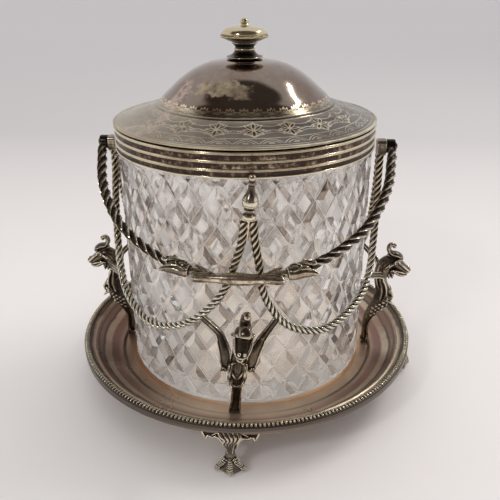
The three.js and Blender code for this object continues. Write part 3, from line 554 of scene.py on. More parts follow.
def tray_material():
    """Worn plate in cream and dark rings by radius out to the lip, with painted light: a pale bed and an
    amber glow line at the jar's foot, a lighter front and a darker left side.
    """
    g = Graph("worn_silver_plate")
    x, y, z = g.xyz()
    r = g.math("SQRT", g.plus(g.times(x, x), g.times(y, y)))
    cloud, fine = g.noise(40.0, 4, 0.6), g.noise(260.0, 3, 0.6)
    # the pale bed and the amber line at the jar's foot are painted light that comes through the glass
    colour = g.ramp(
        g.span(g.jitter(r, cloud, 0.0035), 0.060, 0.100, kind="LINEAR"),
        (0.15, (0.92, 0.80, 0.67)), (0.243, (0.88, 0.66, 0.45)), (0.26, (0.80, 0.35, 0.10)),
        (0.278, (0.66, 0.50, 0.36)), (0.4, (0.56, 0.43, 0.32)), (0.43, (0.12, 0.085, 0.065)),
        (0.47, (0.52, 0.41, 0.31)), (0.53, (0.37, 0.24, 0.195)), (0.61, (0.34, 0.225, 0.185)),
        (0.64, (0.74, 0.64, 0.49)), (0.705, (0.70, 0.61, 0.47)), (0.73, (0.10, 0.08, 0.065)),
        (0.76, (0.36, 0.28, 0.225)), (0.82, (0.40, 0.31, 0.25)), (0.845, (0.74, 0.66, 0.51)),
        (0.88, (0.62, 0.54, 0.42)), (0.905, (0.11, 0.09, 0.07)), (1.0, (0.60, 0.52, 0.41)),
    )
    dark = g.span(g.jitter(g.attribute("wear_and_light"), fine, 0.3), 0.25, 0.5, 0.75, 0.0)
    colour = g.mix(dark, colour, (0.09, 0.068, 0.055))
    colour = g.mix(g.span(cloud, 0.5, 0.72, 0, 0.6), colour, (0.40, 0.24, 0.18))
    # painted dark reflection on the left side; the right side is also darkened a little
    colour = g.mix(g.span(x, 0.0, -0.085, 0.0, 0.95), colour, (0.40, 0.31, 0.27), "MULTIPLY")
    colour = g.mix(g.span(x, 0.03, 0.09, 0.0, 0.55), colour, (0.55, 0.47, 0.42), "MULTIPLY")
    # painted light on the front of the bed near the jar
    front = g.times(g.span(y, -0.055, -0.08, 0.0, 0.7), g.span(r, 0.086, 0.08))
    colour = g.mix(front, colour, (0.80, 0.66, 0.52))
    lip = g.times(g.span(r, 0.0990, 0.0996), g.span(z, 0.0256, 0.0262))
    colour = g.mix(lip, colour, (0.13, 0.105, 0.09))
    g.bump(g.plus(fine, g.noise(800.0, 2)), 0.08)
    rough = g.plus(g.span(cloud, 0.3, 0.7, 0.24, 0.38), g.span(fine, 0.3, 0.7, 0, 0.06))
    return g.finish(colour, rough, g.span(r, 0.0655, 0.069, 0.15, 0.85))


def glass_material():
    """Cut crystal: facet is the painted tone of a cut face, brown to white at random as painted reflection
    and sparkle, below 0 on the inner wall; wear_and_light is 1 in the grooves, which are painted lighter.
    """
    g = Graph("cut_glass")
    g.put(g.bsdf.inputs["IOR"], 1.52)
    facet = g.attribute("facet")
    groove = g.span(g.attribute("wear_and_light"), 0.7, 0.86)
    tone = g.jitter(facet, g.noise(60.0, 3), 0.3)
    # painted reflections: random faces brown-dark or white, as a cut face catches or misses the light
    colour = g.ramp(tone, (0.05, (0.36, 0.29, 0.24)), (0.2, (0.66, 0.58, 0.51)), (0.42, (0.95, 0.92, 0.88)),
                    (0.9, (1.0, 0.985, 0.965)))
    colour = g.mix(g.span(facet, 0.0, -0.5), colour, (0.99, 0.98, 0.965))
    # the grooves painted lighter, as bright lines of light
    colour = g.mix(groove, colour, (0.93, 0.89, 0.84))
    clear = g.times(g.span(tone, 0.72, 0.95, 0.9, 0.5), g.span(groove, 0.0, 1.0, 1.0, 0.6))
    g.put(g.bsdf.inputs["Transmission Weight"], clear)
    g.bump(g.noise(45.0, 2), 0.1, 0.0005)
    rough = g.math("MAXIMUM", g.span(facet, -0.1, -0.5, 0.004, 0.07), g.times(groove, 0.3))
    return g.finish(colour, rough, 0.0)


def plaster_material():
    g = Graph("plaster")
    fine = g.noise(500.0, 4)
    g.bump(fine, 0.4)
    return g.finish(g.ramp(fine, (0.3, (0.62, 0.58, 0.5)), (0.7, (0.8, 0.77, 0.7))), 0.9, 0.0)


def plain_plate(name, colour, shade):
    """Plate of the solids that carry no wear of their own."""
    g = Graph(name)
    cloud = g.noise(90.0, 4, 0.6)
    g.bump(g.noise(600.0, 3), 0.12)
    return g.finish(g.ramp(cloud, (0.35, shade), (0.65, colour)), g.span(cloud, 0.3, 0.7, 0.34, 0.22))


# Tray and border

tray_profile = np.vstack([
    soft([(0, 0), (70, 0), (76.4, 0.05), (77.2, 0.35), (78.2, 0.7), (80.5, 0.95), (84, 2.0), (87.5, 3.9),
          (90.2, 5.6), (92.0, 7.2), (92.6, 8.2), (93.2, 8.5), (93.8, 8.3), (94.5, 8.25), (95.5, 9.0),
          (96.4, 10.1), (97.0, 10.4), (97.0, 10.4), (100.3, 10.4), (100.3, 10.4)]),
    soft([(100.3, 7.0), (100.3, 7.0), (99.3, 7.0), (99.3, 7.0), (99.3, 9.0), (98.6, 9.3), (96.8, 9.2),
          (94.5, 7.2), (91, 4.8), (87, 2.2), (82, 0.1), (78, -0.9), (76, -1.2), (40, -1.2), (0, -1.2)], 5),
]) + (0, BED)
piece("tray_dish", lathe(tray_profile, 288, closed=False), "stand", "tray", tray_material(),
      (6, 0.12), 50)


def beaded_border():
    """Ring of beads on a flat base, and the level of its points: painted light, bright on the bead tops and
    dark down their sides.
    """
    count, radius, seat = 292, 98.7, BED + 10.7
    bead, faces = blob((0, 0, 0), (1.52, 0.8, 1.05), 12)
    # painted light: bead tops bright, their sides and the gaps between them dark
    level = np.clip((bead[:, 2] + 0.05) / 0.8, 0, 1) * np.clip(1.5 - np.abs(bead[:, 1]) / 0.62, 0, 1)
    base = outward(lathe([(97.15, seat), (100.25, seat), (100.3, seat + 0.35), (99.9, seat + 0.6),
                          (97.6, seat + 0.6), (97.1, seat + 0.35)], 288))
    beads = ring_of((bead + (radius, 0, seat + 0.55), faces), count)
    return join([beads, base]), np.concatenate([np.tile(level, count), np.zeros(len(base[0]))])


border, border_top_light = beaded_border()
piece("bead_border", border, "stand", "beaded_border", bright_plate, border_top_light)

# Claw feet


def toe_points(angle, reach):
    c, s = math.cos(math.radians(angle)), math.sin(math.radians(angle))
    toe = [(99.2, s * 1.2, 10.4), (99.4 + reach * 0.34 * c, reach * 0.42 * s, 7.3)]
    if angle:
        return toe + [(98.7 + reach * 0.42 * c, reach * 0.76 * s, 4.4),
                      (97.6 + reach * 0.5 * c, reach * 0.94 * s, 1.5)]
    return toe + [(99.1 + reach * 0.66, 0, 4.2), (98.4 + reach * 0.92, 0, 1.3)]


def toes():
    """Three toes with ribs across them."""
    parts, rib_at = [], np.linspace(0.22, 0.96, 8)
    for angle, reach in ((0, 5.2), (62, 8.3), (-62, 8.3)):
        toe = toe_points(angle, reach)
        parts.append(tube(toe, [0.9, 1.1, 1.2, 1.2], 10))
        line = centripetal(toe, 60)
        ahead = unit(np.gradient(line, axis=0))
        c, s = math.cos(math.radians(angle)), math.sin(math.radians(angle))
        across = np.array([-s, c, 0])
        for k in (rib_at * 59).astype(int):
            rise = unit(np.cross(ahead[k], across))
            rise = rise * math.copysign(1, rise @ np.array([c, s, 0.6]))
            rib = [line[k] - across * 1.55, line[k] + rise * 1.4, line[k] + across * 1.55]
            parts.append(tube(rib, [0.42, 0.52, 0.42], 8, 9))
    return parts


def web():
    """Thin form from the ankle to the ground between the toes."""
    rows = []
    for h, k in ((10.6, 0.2), (7.0, 0.45), (3.6, 0.8), (1.2, 1.0), (0.0, 1.03)):
        side = [(99.0 + 4.4 * k, 0), (97.8 + 2.2 * k, 3.8 * k + 0.6), (97.3 + 0.4 * k, 7.3 * k + 0.3),
                (97.1 - 1.6 * k, 4.6 * k), (97.1 - 3.6 * k, 1.2 * k)]
        rows.append([(x, y, h) for x, y in side + [(x, -y) for x, y in side[::-1]]])
    return skin(rows)


def bracket():
    """Bat-wing plate behind the leg, with raised edges, under the tray's lip."""
    top, tip, half, radius = 26.1, 19.2, 14.8, 97.9
    lobe, notch = [(-half * 0.93, tip + 2.6), (-half * 0.83, tip - 0.4)], (-half * 0.74, tip + 1.7)
    scallop = [notch, (-half * 0.6, tip + 1.1), (-half * 0.42, tip + 1.2), (-half * 0.28, tip - 1.6)]
    long_rib = [(-half * 0.2, top - 1.5), (-half * 0.5, tip + 3.2), (-half * 0.83, tip - 0.2)]
    short_rib = [(-half * 0.2, top - 3.2), (-half * 0.42, tip + 1.4)]
    edges = [
        ([(-half, top - 0.2)] + lobe, [0.65, 0.65 * 1.15, 0.65 * 0.8], 24, 0.55),
        (lobe[1:] + scallop + [(-half * 0.2, tip - 5.0)], [0.7, 0.7 * 1.15, 0.7 * 0.8], 24, 0.55),
        (long_rib, [0.45, 0.35], 16, 0.5),
        (short_rib, [0.45, 0.35], 16, 0.5),
    ]
    outline = np.array([(0, top), (-half, top)] + lobe + scallop + [(0, tip - 3)])

    def bend(points):
        """Drawing (along, up, out) laid round the tray."""
        p = np.asarray(points, float)
        a = p[:, 0] / radius
        return np.stack([(radius + p[:, 2]) * np.cos(a), (radius + p[:, 2]) * np.sin(a), p[:, 1]], 1)

    parts = []
    for sign in (1, -1):
        end = [(sign * half, top - 0.6, 0), (sign * 17.4, top - 1.6, 0.2), (sign * 19.2, top - 3.0, 0.3)]
        parts.append(tube(bend(end), [0.8, 0.8, 0.9], 8, 16))
        for edge, widths, count, out in edges:
            parts.append(tube(bend([(sign * x, z, out) for x, z in edge]), widths, 8, count))
        rows = [bend([(sign * x, z, d) for x, z in resample(outline, 44)]) for d in (-0.7, 0.15)]
        parts.append(skin(rows))
    return parts


def claw_foot():
    parts = [loft([(98.4, 0, 24.6, 1.6, 6.4), (98.6, 0, 21.5, 1.9, 4.6), (98.9, 0, 17.5, 2.1, 3.0),
                   (99.0, 0, 13.0, 2.1, 2.4), (99.2, 0, 10.6, 2.2, 2.7), (99.4, 0, 8.0, 2.4, 3.4)], 18, 5)]
    # hair-like locks down the leg
    for y in (-4.6, -2.2, 0.2, 2.5, 4.7):
        lock = [(99.9, y - 0.9, 24.8), (101.0, y + 0.5, 23.2), (101.3, y * 0.72 + 0.9, 21.2),
                (101.2, y * 0.62 - 0.5, 19.2), (100.9, y * 0.42 - 0.3, 17.0), (100.7, y * 0.3, 14.8),
                (100.7, y * 0.26, 12.4)]
        parts.append(tube(lock, [0.8, 1.0, 0.9, 0.8, 0.6, 0.5, 0.4], 8, 46))
    return fused(parts + toes() + [web()] + bracket(), 0.28)


foot = claw_foot()
for name, azimuth in (("front", -90), ("right", 0), ("back", 90), ("left", 180)):
    piece(f"webbed_foot_{name}", spun(foot, azimuth), "stand", f"claw_foot_{name}", foot_plate,
          (7, 0.22))

# Rope frame

SEAT = 109.2  # finials above the bed
LOW = 43.3  # lowest point of the swags above the bed
FINIAL_LEAN = 6  # degrees that the front finial stands to the right
# degrees from the front or the back, and the share of the climb there
finial_side = [(2.4, 0.84), (4.5, 0.66), (6.8, 0.47), (10.7, 0.32), (20.6, 0.115)]
hinge_side = [(58, 0.07), (72, 0.18), (80, 0.4), (86.5, 0.72)]
steep_side = [(55.5, 0.07), (66.5, 0.18), (73, 0.4), (82.5, 0.66), (87.4, 0.86)]


def swag_points(from_front, to_right):
    """Middle line of a rope from its finial down and up to its hinge block."""
    pair = math.degrees(math.asin((ROPE + 0.2) / CAGE))
    climb_finial = SEAT - 0.5 - LOW
    climb_hinge = HINGE_Z - BED - 2.8 - 0.5 - LOW
    route = [(pair, climb_finial)] + [(max(a, pair), s * climb_finial) for a, s in finial_side] + [(37.5, 0)]
    outer = steep_side if from_front and not to_right else hinge_side
    route += [(min(a, 90 - pair), s * climb_hinge) for a, s in outer] + [(90 - pair, climb_hinge)]
    sign = 1 if from_front == to_right else -1
    points = []
    for k, (angle, climb) in enumerate(route):
        share = min(climb / climb_finial, 1)
        leaning = from_front and k < len(finial_side) + 1
        lean = FINIAL_LEAN * math.sin(share * math.pi / 2) if leaning else 0
        a = math.radians((-90 if from_front else 90) + sign * angle + lean)
        points.append((CAGE * math.cos(a), CAGE * math.sin(a), BED + LOW + climb))
    return points


def rope(points, radius, pitch, strands=4, step=0.42):
    """Twisted rope with a fine groove down each strand, and the wear of its points."""
    total = length_of(centripetal(points, 400))
    count = int(total / step)
    strand, middle = radius * 0.425, radius * 0.58
    base = np.linspace(0, TAU, strands * 9, endpoint=False)
    delta = ((base * strands / TAU + 0.5) % 1 - 0.5) * TAU / strands
    reach = middle * np.cos(delta) + np.sqrt(np.maximum(strand**2 - (middle * np.sin(delta)) ** 2, 0))
    reach = reach - 0.04 * np.exp(-((delta / 0.13) ** 2))
    turn = TAU * np.linspace(0, total, count) / pitch
    level = (reach - reach.min()) / (reach.max() - reach.min())
    level = np.where(np.abs(delta) < 0.12, 0.86, level)
    part = wrap(centripetal(points, count), base[None] + turn[:, None], reach[None])
    return part, np.concatenate([np.tile(level, count), [0.3, 0.3]])


swags = {}
rope_plate = rope_material()
for front in (True, False):
    for right in (False, True):
        name = f"{'front' if front else 'back'}_{'right' if right else 'left'}"
        points = swag_points(front, right)
        swags[name] = centripetal(points, 300)
        part, value = rope(points, ROPE + 0.2, 13.8)
        piece(f"rope_{name}", part, "stand", f"rope_swag_{name}", rope_plate, value)


def finial():
    """Turned finial on a saddle over the two ropes, with the solder between them."""
    profile = soft([
        (0, 0.35), (2.9, 0.35), (2.9, 0.35), (3.25, 0.8), (3.4, 1.6), (3.3, 2.3), (3.3, 2.3), (2.7, 2.7),
        (1.9, 3.2), (1.75, 3.7), (2.0, 4.2), (2.65, 4.5), (2.65, 4.9), (2.25, 5.2), (2.25, 5.2), (2.8, 5.8),
        (3.5, 6.6), (3.7, 7.2), (3.7, 7.2), (3.55, 7.35), (3.8, 7.55), (3.8, 7.55), (3.84, 8.5), (3.7, 9.5),
        (3.7, 9.5), (3.5, 9.65), (3.62, 9.85), (3.62, 9.85), (3.2, 10.9), (2.5, 12.1), (1.9, 13.4),
        (1.55, 15.0), (1.42, 16.6), (1.42, 16.6), (1.75, 16.9), (1.8, 17.3), (1.75, 17.7), (1.35, 18.0),
        (1.35, 18.0), (1.3, 18.4), (1.7, 19.2), (1.75, 20.1), (1.3, 21.2), (0, 21.6),
    ], 4)
    saddle = loft([(0, 0, -0.2, 2.1, 3.5), (0, 0, 0.4, 2.2, 3.7), (0, 0, 1.0, 2.0, 3.3)], 24, 3)
    solder = loft([(-0.6, 0, -10.5, 0.6, 0.4), (-0.6, 0, -8, 0.8, 0.9), (-0.5, 0, -3, 1.0, 1.2),
                   (0, 0, 0.2, 1.3, 1.6)], 14, 3)
    return join([lathe(profile, 36, closed=False), saddle, solder])


finial_form, finial_faces = finial()
for name, azimuth, lean, tip in (("front", -90, FINIAL_LEAN, 5), ("back", 90, 0, 0)):
    a = math.radians(azimuth + lean)
    lift = (2 * ROPE + 0.4) * math.sin(math.radians(tip))
    at = (CAGE * math.cos(a), CAGE * math.sin(a), BED + SEAT + lift)
    tipped = np.array(Matrix.Rotation(math.radians(-tip), 3, "X"))
    part = turn_z(finial_form @ tipped.T, azimuth + lean) + at, finial_faces
    piece(f"finial_turned_{name}", part, "stand", f"finial_{name}", dark_plate,
          (5, 0.25), 50)

# Winged figures


def figure_point(out, height, tilt, side=0.0):
    """Place in a figure: millimetres out from its leg, up from its pad and to its side."""
    return np.array([CAGE + out, side + height * math.tan(math.radians(tilt)), BED + GAP + height])


def figure(tilt):
    """Forms of a figure's leg, chest, neck and head."""
    parts = []

    def p(out, height, side=0.0):
        # the tilted figure's head is turned a little to the right
        turn = max(0.0, height - 40) * tilt * (0.012 + 0.0016 * (out - 10))
        return figure_point(out, height, tilt, side + turn)

    def mass(rows, corners, sub, power=2.0, side=(0, 1, 0)):
        """Loft through rows of out, height, maybe side, half thickness and half width."""
        parts.append(loft([(*p(*at), thick, wide) for *at, thick, wide in rows], corners, sub, power, side))

    def strand(s, rows, radii, corners=8, count=None):
        """Tube through rows of out, height and side, on the side s."""
        parts.append(tube([p(o, h, s * y) for o, h, y in rows], radii, corners, count))

    def ball(at, size, steps=14):
        parts.append(blob(p(*at), size, steps))

    # spine from the leg to the nose
    mass([(0, 1.2, 1.9, 2.5), (0, 5.5, 1.7, 2.7), (-0.1, 11, 1.8, 2.6), (0.8, 15.5, 2.3, 2.7),
          (3.1, 20.5, 3.3, 3.0), (6.6, 26, 4.5, 3.6), (8.9, 31.6, 4.8, 4.2), (8.4, 37.5, 4.1, 4.0),
          (7.1, 43, 3.7, 3.7), (7.0, 48.4, 4.0, 3.9), (9.0, 53.4, 4.3, 4.3), (12.6, 55.4, 3.8, 4.4),
          (16.4, 53.6, 2.8, 4.1), (19.6, 51.5, 2.4, 3.5), (22.2, 50.0, 1.9, 2.8), (23.4, 49.4, 1.0, 1.7)],
         26, 5, 2.2)
    pad = [(-2.2, -3.4), (2.2, -3.4), (2.2, 3.4), (-2.2, 3.4)]
    layers = ((0, 1), (1.1, 1), (1.6, 0.86))
    parts.append(skin([[(CAGE + x * k, y * k, BED + GAP + z) for x, y in pad] for z, k in layers]))
    # rosette under the chest shield, with a leaf below it
    rosette = [(11.6 + 0.5 * math.cos(t), 26.8 + 2.3 * math.cos(t), 2.3 * math.sin(t))
               for t in np.linspace(0, TAU, 13)]
    strand(1, rosette, 0.6, 8, 50)
    ball((11.2, 26.8), (1.0, 1.1, 1.1))
    mass([(9.6, 25.0, 1.4, 1.8), (7.6, 22.4, 1.6, 2.1), (5.2, 19.4, 1.2, 1.4), (3.6, 17.0, 0.5, 0.5)], 14, 4)
    # rolled rim of the chest shield
    strand(1, [(11.4, 39.0, 0), (12.3, 38.4, 3.0), (13.6, 35.2, 3.1), (13.6, 32.4, 1.7), (13.0, 30.2, 0),
               (13.6, 32.4, -1.7), (13.6, 35.2, -3.1), (12.3, 38.4, -3.0), (11.4, 39.0, 0)], 0.6, 8, 70)
    for s in (-1, 1):
        # leg ridges and chest leaves
        strand(s, [(1.3, 1.8, 2.9), (1.7, 4, 2.4), (1.6, 11, 2.2), (3.1, 16, 2.2), (6.0, 20.5, 2.3)],
               [0.8, 0.65, 0.65, 0.65, 0.5])
        mass([(9.0, 31.0, s * 3.2, 1.3, 1.0), (12.2, 30.4, s * 3.8, 1.2, 0.9),
              (14.6, 28.6, s * 3.4, 0.8, 0.7), (15.9, 27.2, s * 2.9, 0.25, 0.25)], 10, 4, side=(0, 0, 1))
        strand(s, [(9.5, 39.0, 3.2), (12.6, 37.4, 4.0), (14.4, 34.0, 3.8), (13.6, 31.2, 3.6),
                   (11.9, 32.0, 3.9)], [0.5, 0.8, 0.9, 0.75, 0.5])
        # scales low on the back
        for i in range(4):
            for j in range(3):
                at = (2.6 + 1.9 * i + 0.5 * j, 19.4 + 1.5 * i + 2.6 * j, s * (2.6 + 0.25 * i + 0.2 * j))
                ball(at, (1.1, 0.8, 1.2), 10)
        # mane locks down the neck
        for k in range(4):
            q = 0.9 * k
            strand(s, [(11.4 - q, 57.6 - q * 0.6, 1.8 + 0.5 * k), (5.4 - q * 0.35, 53.0 - q, 3.0 + 0.12 * k),
                       (4.2 + q * 0.2, 46.0 - q * 1.5, 3.2 + 0.1 * k), (5.8 + q * 0.5, 40.0 - q, 3.4)],
                   [0.4, 0.6, 0.55, 0.3], 7)
        # horn curl at the brow's end, ear and eye
        curl = [(15.2 + 1.2 * math.cos(t), 56.4 + 1.1 * math.sin(t), 4.4 + 0.1 * t)
                for t in np.linspace(-0.2, 4.2, 10)]
        strand(s, curl, [0.75, 0.65, 0.5], 8, 50)
        ball((15.2, 56.3, s * 4.5), (0.8, 0.5, 0.7))
        strand(s, [(13.2, 55.6, 4.2), (10.6, 54.4, 5.0), (8.4, 52.4, 4.5)], [0.95, 0.95, 0.25])
        ball((18.0, 54.2, s * 3.3), (0.8, 0.7, 0.8))
        # rolled upper lip, nostril and lower lip
        strand(s, [(16.6, 55.8, 4.0), (18.8, 54.2, 3.9), (21.2, 52.0, 3.3), (23.0, 50.4, 2.2),
                   (23.9, 49.8, 0)], [0.6, 0.7, 0.7, 0.7, 0.75], 8, 40)
        ball((22.8, 51.2, s * 1.3), (1.3, 1.0, 1.1))
        strand(s, [(22.6, 48.6, 0.8), (20.4, 49.0, 2.4), (17.4, 50.2, 3.5), (14.4, 50.8, 3.6),
                   (11.8, 50.0, 3.2)], [0.5, 0.6, 0.6, 0.6, 0.4])
    # brow across the head
    strand(1, [(15.2, 57.0, -4.5), (16.9, 57.6, -2.6), (17.4, 57.8, 0), (16.9, 57.6, 2.6),
               (15.2, 57.0, 4.5)], [0.9, 1.15, 1.2, 1.15, 0.9], 10, 50)
    # lower jaw and beard
    mass([(22.4, 47.4, 0.7, 1.1), (20.6, 46.9, 1.2, 1.9), (18.0, 47.4, 1.5, 2.4), (15.0, 49.2, 1.5, 2.8),
          (12.2, 50.8, 1.4, 2.9)], 16, 4)
    mass([(12.2, 51.4, 2.1, 1.9), (13.2, 48.2, 1.7, 1.6), (13.8, 45.6, 1.0, 1.0),
          (14.0, 43.8, 0.35, 0.3)], 12, 4)
    mass([(9.6, 49.6, 1.8, 1.7), (11.6, 46.0, 1.2, 1.4), (12.2, 43.6, 0.3, 0.4)], 12, 4)
    # crest: a broad horn from the brow, swept back, up and forward to a ball
    mass([(18.4, 57.2, 1.0, 2.6), (17.4, 58.8, 1.5, 3.1), (15.2, 60.0, 1.8, 3.1), (12.6, 60.6, 1.6, 2.9),
          (11.0, 61.8, 1.45, 2.7), (10.2, 63.6, 1.35, 2.4), (10.6, 65.5, 1.25, 2.1), (11.8, 66.4, 1.2, 1.8),
          (13.2, 65.9, 1.1, 1.5)], 18, 5)
    ball((13.4, 65.4), (1.45, 1.5, 1.45))
    mass([(15.0, 57.4, 2.4, 2.9), (12.0, 58.4, 2.2, 2.6), (10.4, 60.2, 1.2, 1.8)], 14, 3)
    return parts


def wing_anchor(rope_name, azimuth, near_finial):
    """Point of a rope where a wing ends, in the frame of the figure at that azimuth."""
    line = swags[rope_name]
    order = line if near_finial else line[::-1]
    return turn_z(order[np.argmax(order[:, 2] <= BED + 57.5)], -azimuth)


def wing(anchor, tilt):
    """Cupped plate from the shoulder to the rope, with rolled edges and a curl at the elbow."""
    s = math.copysign(1, anchor[1])

    def p(out, height, side):
        return figure_point(out, height, tilt, s * side)

    # out, height, side, half width and half depth; the last row lies on the rope
    path = [(7.4, 31.6, 4.8, 1.2, 1.0), (8.4, 34.4, 5.7, 2.0, 1.9), (8.8, 38.6, 6.5, 2.6, 2.4),
            (8.0, 44.0, 7.6, 2.6, 2.2), (6.4, 48.4, 9.5, 2.1, 1.7), (4.8, 51.6, 11.4, 1.7, 1.3)]
    line = [(*p(*at), w, d) for *at, w, d in path]
    line = ease(line + [(*(anchor + (p(*path[-1][:3]) - anchor) * 0.1), 1.6, 1.1)], 10)
    blade, width, depth = line[:, :3], line[:, 3:4], line[:, 4:5]
    ahead = unit(np.gradient(blade, axis=0))
    flat = unit(np.cross(np.array([1.0, 0, 0]), ahead)) * -s
    face = unit(np.cross(flat, ahead))
    face = face * np.sign(face[:, :1])
    a = np.linspace(0, TAU, 20, endpoint=False)
    parts = [skin(blade[:, None] + flat[:, None] * (width * np.cos(a))[..., None]
                  + face[:, None] * (depth * 0.8 * np.sin(a))[..., None])]
    for k, lift, size in ((-0.95, 0.35, 0.6), (0.95, 0.35, 0.6), (-0.8, -0.6, 0.5), (0.8, -0.6, 0.5)):
        edge = blade + flat * width * k + face * depth * lift
        parts.append(tube(edge[::5], [size, size, size * 0.85], 8, 70))
    elbow = p(10.0, 33.4, 6.9)
    curl = []
    for k in range(6):
        turn, size = k * 0.9 - 0.4, 1.8 - 0.24 * k
        curl.append(elbow + (0.4 + 0.1 * k, s * size * math.cos(turn), size * math.sin(turn)))
    parts.append(tube(curl, [0.75, 0.7, 0.6, 0.6, 0.7], 8, 40))
    parts.append(blob(elbow + (0.6, 0, 0), (0.9, 0.8, 0.8)))
    parts.append(blob(anchor, (1.5, 2.0, 1.7)))
    return fused(parts, 0.24)


def stud_nut():
    """Threaded stud through the tray, with a hexagon nut."""
    stud = lathe([(0, 17.8), (1.3, 17.8), (1.3, 12.9), (0.9, 12.5), (0, 12.5)], 16, closed=False)
    flats = np.linspace(0, TAU, 6, endpoint=False)
    nut = skin(rings([(2.58, 14.1), (3.0, 14.4), (3.0, 15.7), (2.7, 16.0)], flats))
    verts, faces = join([outward(stud), nut])
    return verts + (CAGE, 0, 0), faces


# azimuth, tilt, the rope at each hand, and whether the wings end near a finial
quarters = {
    "front": (-90, 5.0, {"left": "front_left", "right": "front_right"}, True),
    "right": (0, 0.0, {"front": "front_right", "back": "back_right"}, False),
    "back": (90, 0.0, {"right": "back_right", "left": "back_left"}, True),
    "left": (180, 0.0, {"back": "back_left", "front": "front_left"}, False),
}
figures = {tilt: fused(figure(tilt), 0.24) for tilt in (5.0, 0.0)}
for name, (azimuth, tilt, hands, near_finial) in quarters.items():
    piece(f"griffin_{name}", spun(figures[tilt], azimuth), "stand", f"winged_figure_{name}", dark_plate,
          (7, 0.24))
    for hand, rope_name in hands.items():
        part = wing(wing_anchor(rope_name, azimuth, near_finial), tilt)
        piece(f"griffin_wing_{name}_{hand}", spun(part, azimuth), "stand", f"wing_{name}_{hand}", dark_plate,
              (6, 0.2))
    piece(f"stud_nut_{name}", spun(stud_nut(), azimuth), "stand", f"figure_nut_{name}", dark_plate,
          (2, 0.3), 35)

# Hinges

OUTER = CAGE + 2.9  # outer end of a hinge block
EYE_IN = OUTER + GAP  # inner face of the eye that turns on its pin
EYE_OUT = EYE_IN + 4.6


def hinge_block():
    at = np.linspace(CAGE - ROPE - 0.1, OUTER, 4)
    box = loft([(x, 0, HINGE_Z, 3.8, 3.8) for x in at], 28, 3, 4.0)
    sole = loft([(x, 0, HINGE_Z - 2.2, 2.6, 3.9) for x in at], 28, 3, 4.0)
    return fused([box, sole], 0.2)


def hinge_pin():
    inner, cap = 73, EYE_OUT + GAP
    profile = soft([(0, inner), (1.1, inner), (1.1, inner), (1.1, cap), (1.1, cap), (2.0, cap), (2.0, cap),
                    (1.95, cap + 0.4), (1.4, cap + 0.9), (0, cap + 1.2)], 4)
    verts, faces = along_x(lathe(profile, 20, closed=False))
    return outward((verts + (0, 0, HINGE_Z), faces))


block, pin = hinge_block(), hinge_pin()
for name, azimuth in (("right", 0), ("left", 180)):
    piece(f"hinge_box_{name}", spun(block, azimuth), "stand", f"hinge_block_{name}", black_plate,
          (6, 0.25))
    piece(f"hinge_pin_round_{name}", spun(pin, azimuth), "stand", f"hinge_pin_{name}", handle_plate,
          (2, 0.3), 40)

# Handle, drawn flat with X across and Y outward, then laid at its rest place

# share of the way in to the head and share of the reach outward
arm_bow = [(0.007, 0.071), (0.039, 0.164), (0.075, 0.274), (0.137, 0.384), (0.224, 0.493), (0.339, 0.603),
           (0.504, 0.713), (0.736, 0.822), (0.891, 0.877), (1, 0.915)]
ARM_X = EYE_IN + 2.9
ARM_END = 33.02
COLLAR = (23.4, 87.19)
STRANDS = 4
LAY = 25.6  # length in which an arm's strands turn once
GRIP_HALF = 20.5


def handle_point(across, reach, hand):
    """Point of the flat drawing; the bow leans to the right."""
    return np.array([across + hand * SKEW * reach, reach, 0.0])


def at_rest(part, hand=1):
    """The flat drawing of one hand, laid at the handle's rest place."""
    c, s = math.cos(math.pi + REST), math.sin(math.pi + REST)
    laid = (part[0] * (hand, 1, hand)) @ np.array([[1, 0, 0], [0, c, -s], [0, s, c]]).T
    return laid + (0, 0, HINGE_Z), part[1]


def arm_line(hand, count):
    run = [handle_point(ARM_X - i * (ARM_X - ARM_END), o * REACH, hand) for i, o in arm_bow]
    return centripetal([(ARM_X, 2.24, 0)] + run, count)


def arm(hand):
    """Arm of broad twisted strands, and the level of its points: painted highlights along the strands' edges
    and painted dark reflection on the broad faces.
    """
    total = length_of(arm_line(hand, 400))
    count = int(total / 0.45)
    base = np.linspace(0, TAU, 72, endpoint=False)
    # degrees from the middle of the edge between two hollows
    off = np.abs(((base * STRANDS / TAU + 0.5) % 1 - 0.5) * 360 / STRANDS)
    shape = np.interp(off, [0, 4, 8, 12, 17, 24, 34, 45], [2.55, 2.6, 2.8, 2.74, 2.3, 2.12, 2.02, 2.0])
    # painted highlights: bright along the strands' edges, the broad faces painted dark as a dark reflection
    level = np.interp(off, [0, 4, 7, 12, 16, 20, 45], [0.55, 0.7, 1.0, 0.95, 0.3, 0.08, 0.0])
    at = np.linspace(0, total, count)
    taper = np.interp(at, [0, 3, 8, 20, total], [0.8, 0.92, 1, 1, 0.87])
    part = wrap(arm_line(hand, count), base[None] + (TAU * at / LAY)[:, None], shape[None] * taper[:, None])
    return part, np.concatenate([np.tile(level, count), [0.2, 0.2]])


def eye():
    """Flat ring round the hinge pin."""
    ring = [(1.27, EYE_IN), (1.27, EYE_IN), (3.3, EYE_IN), (3.75, EYE_IN + 0.4),
            (3.8, (EYE_IN + EYE_OUT) / 2), (3.75, EYE_OUT - 0.4), (3.3, EYE_OUT),
            (1.27, EYE_OUT), (1.27, EYE_OUT)]
    return outward(along_x(lathe(soft(ring, 3), 32)))


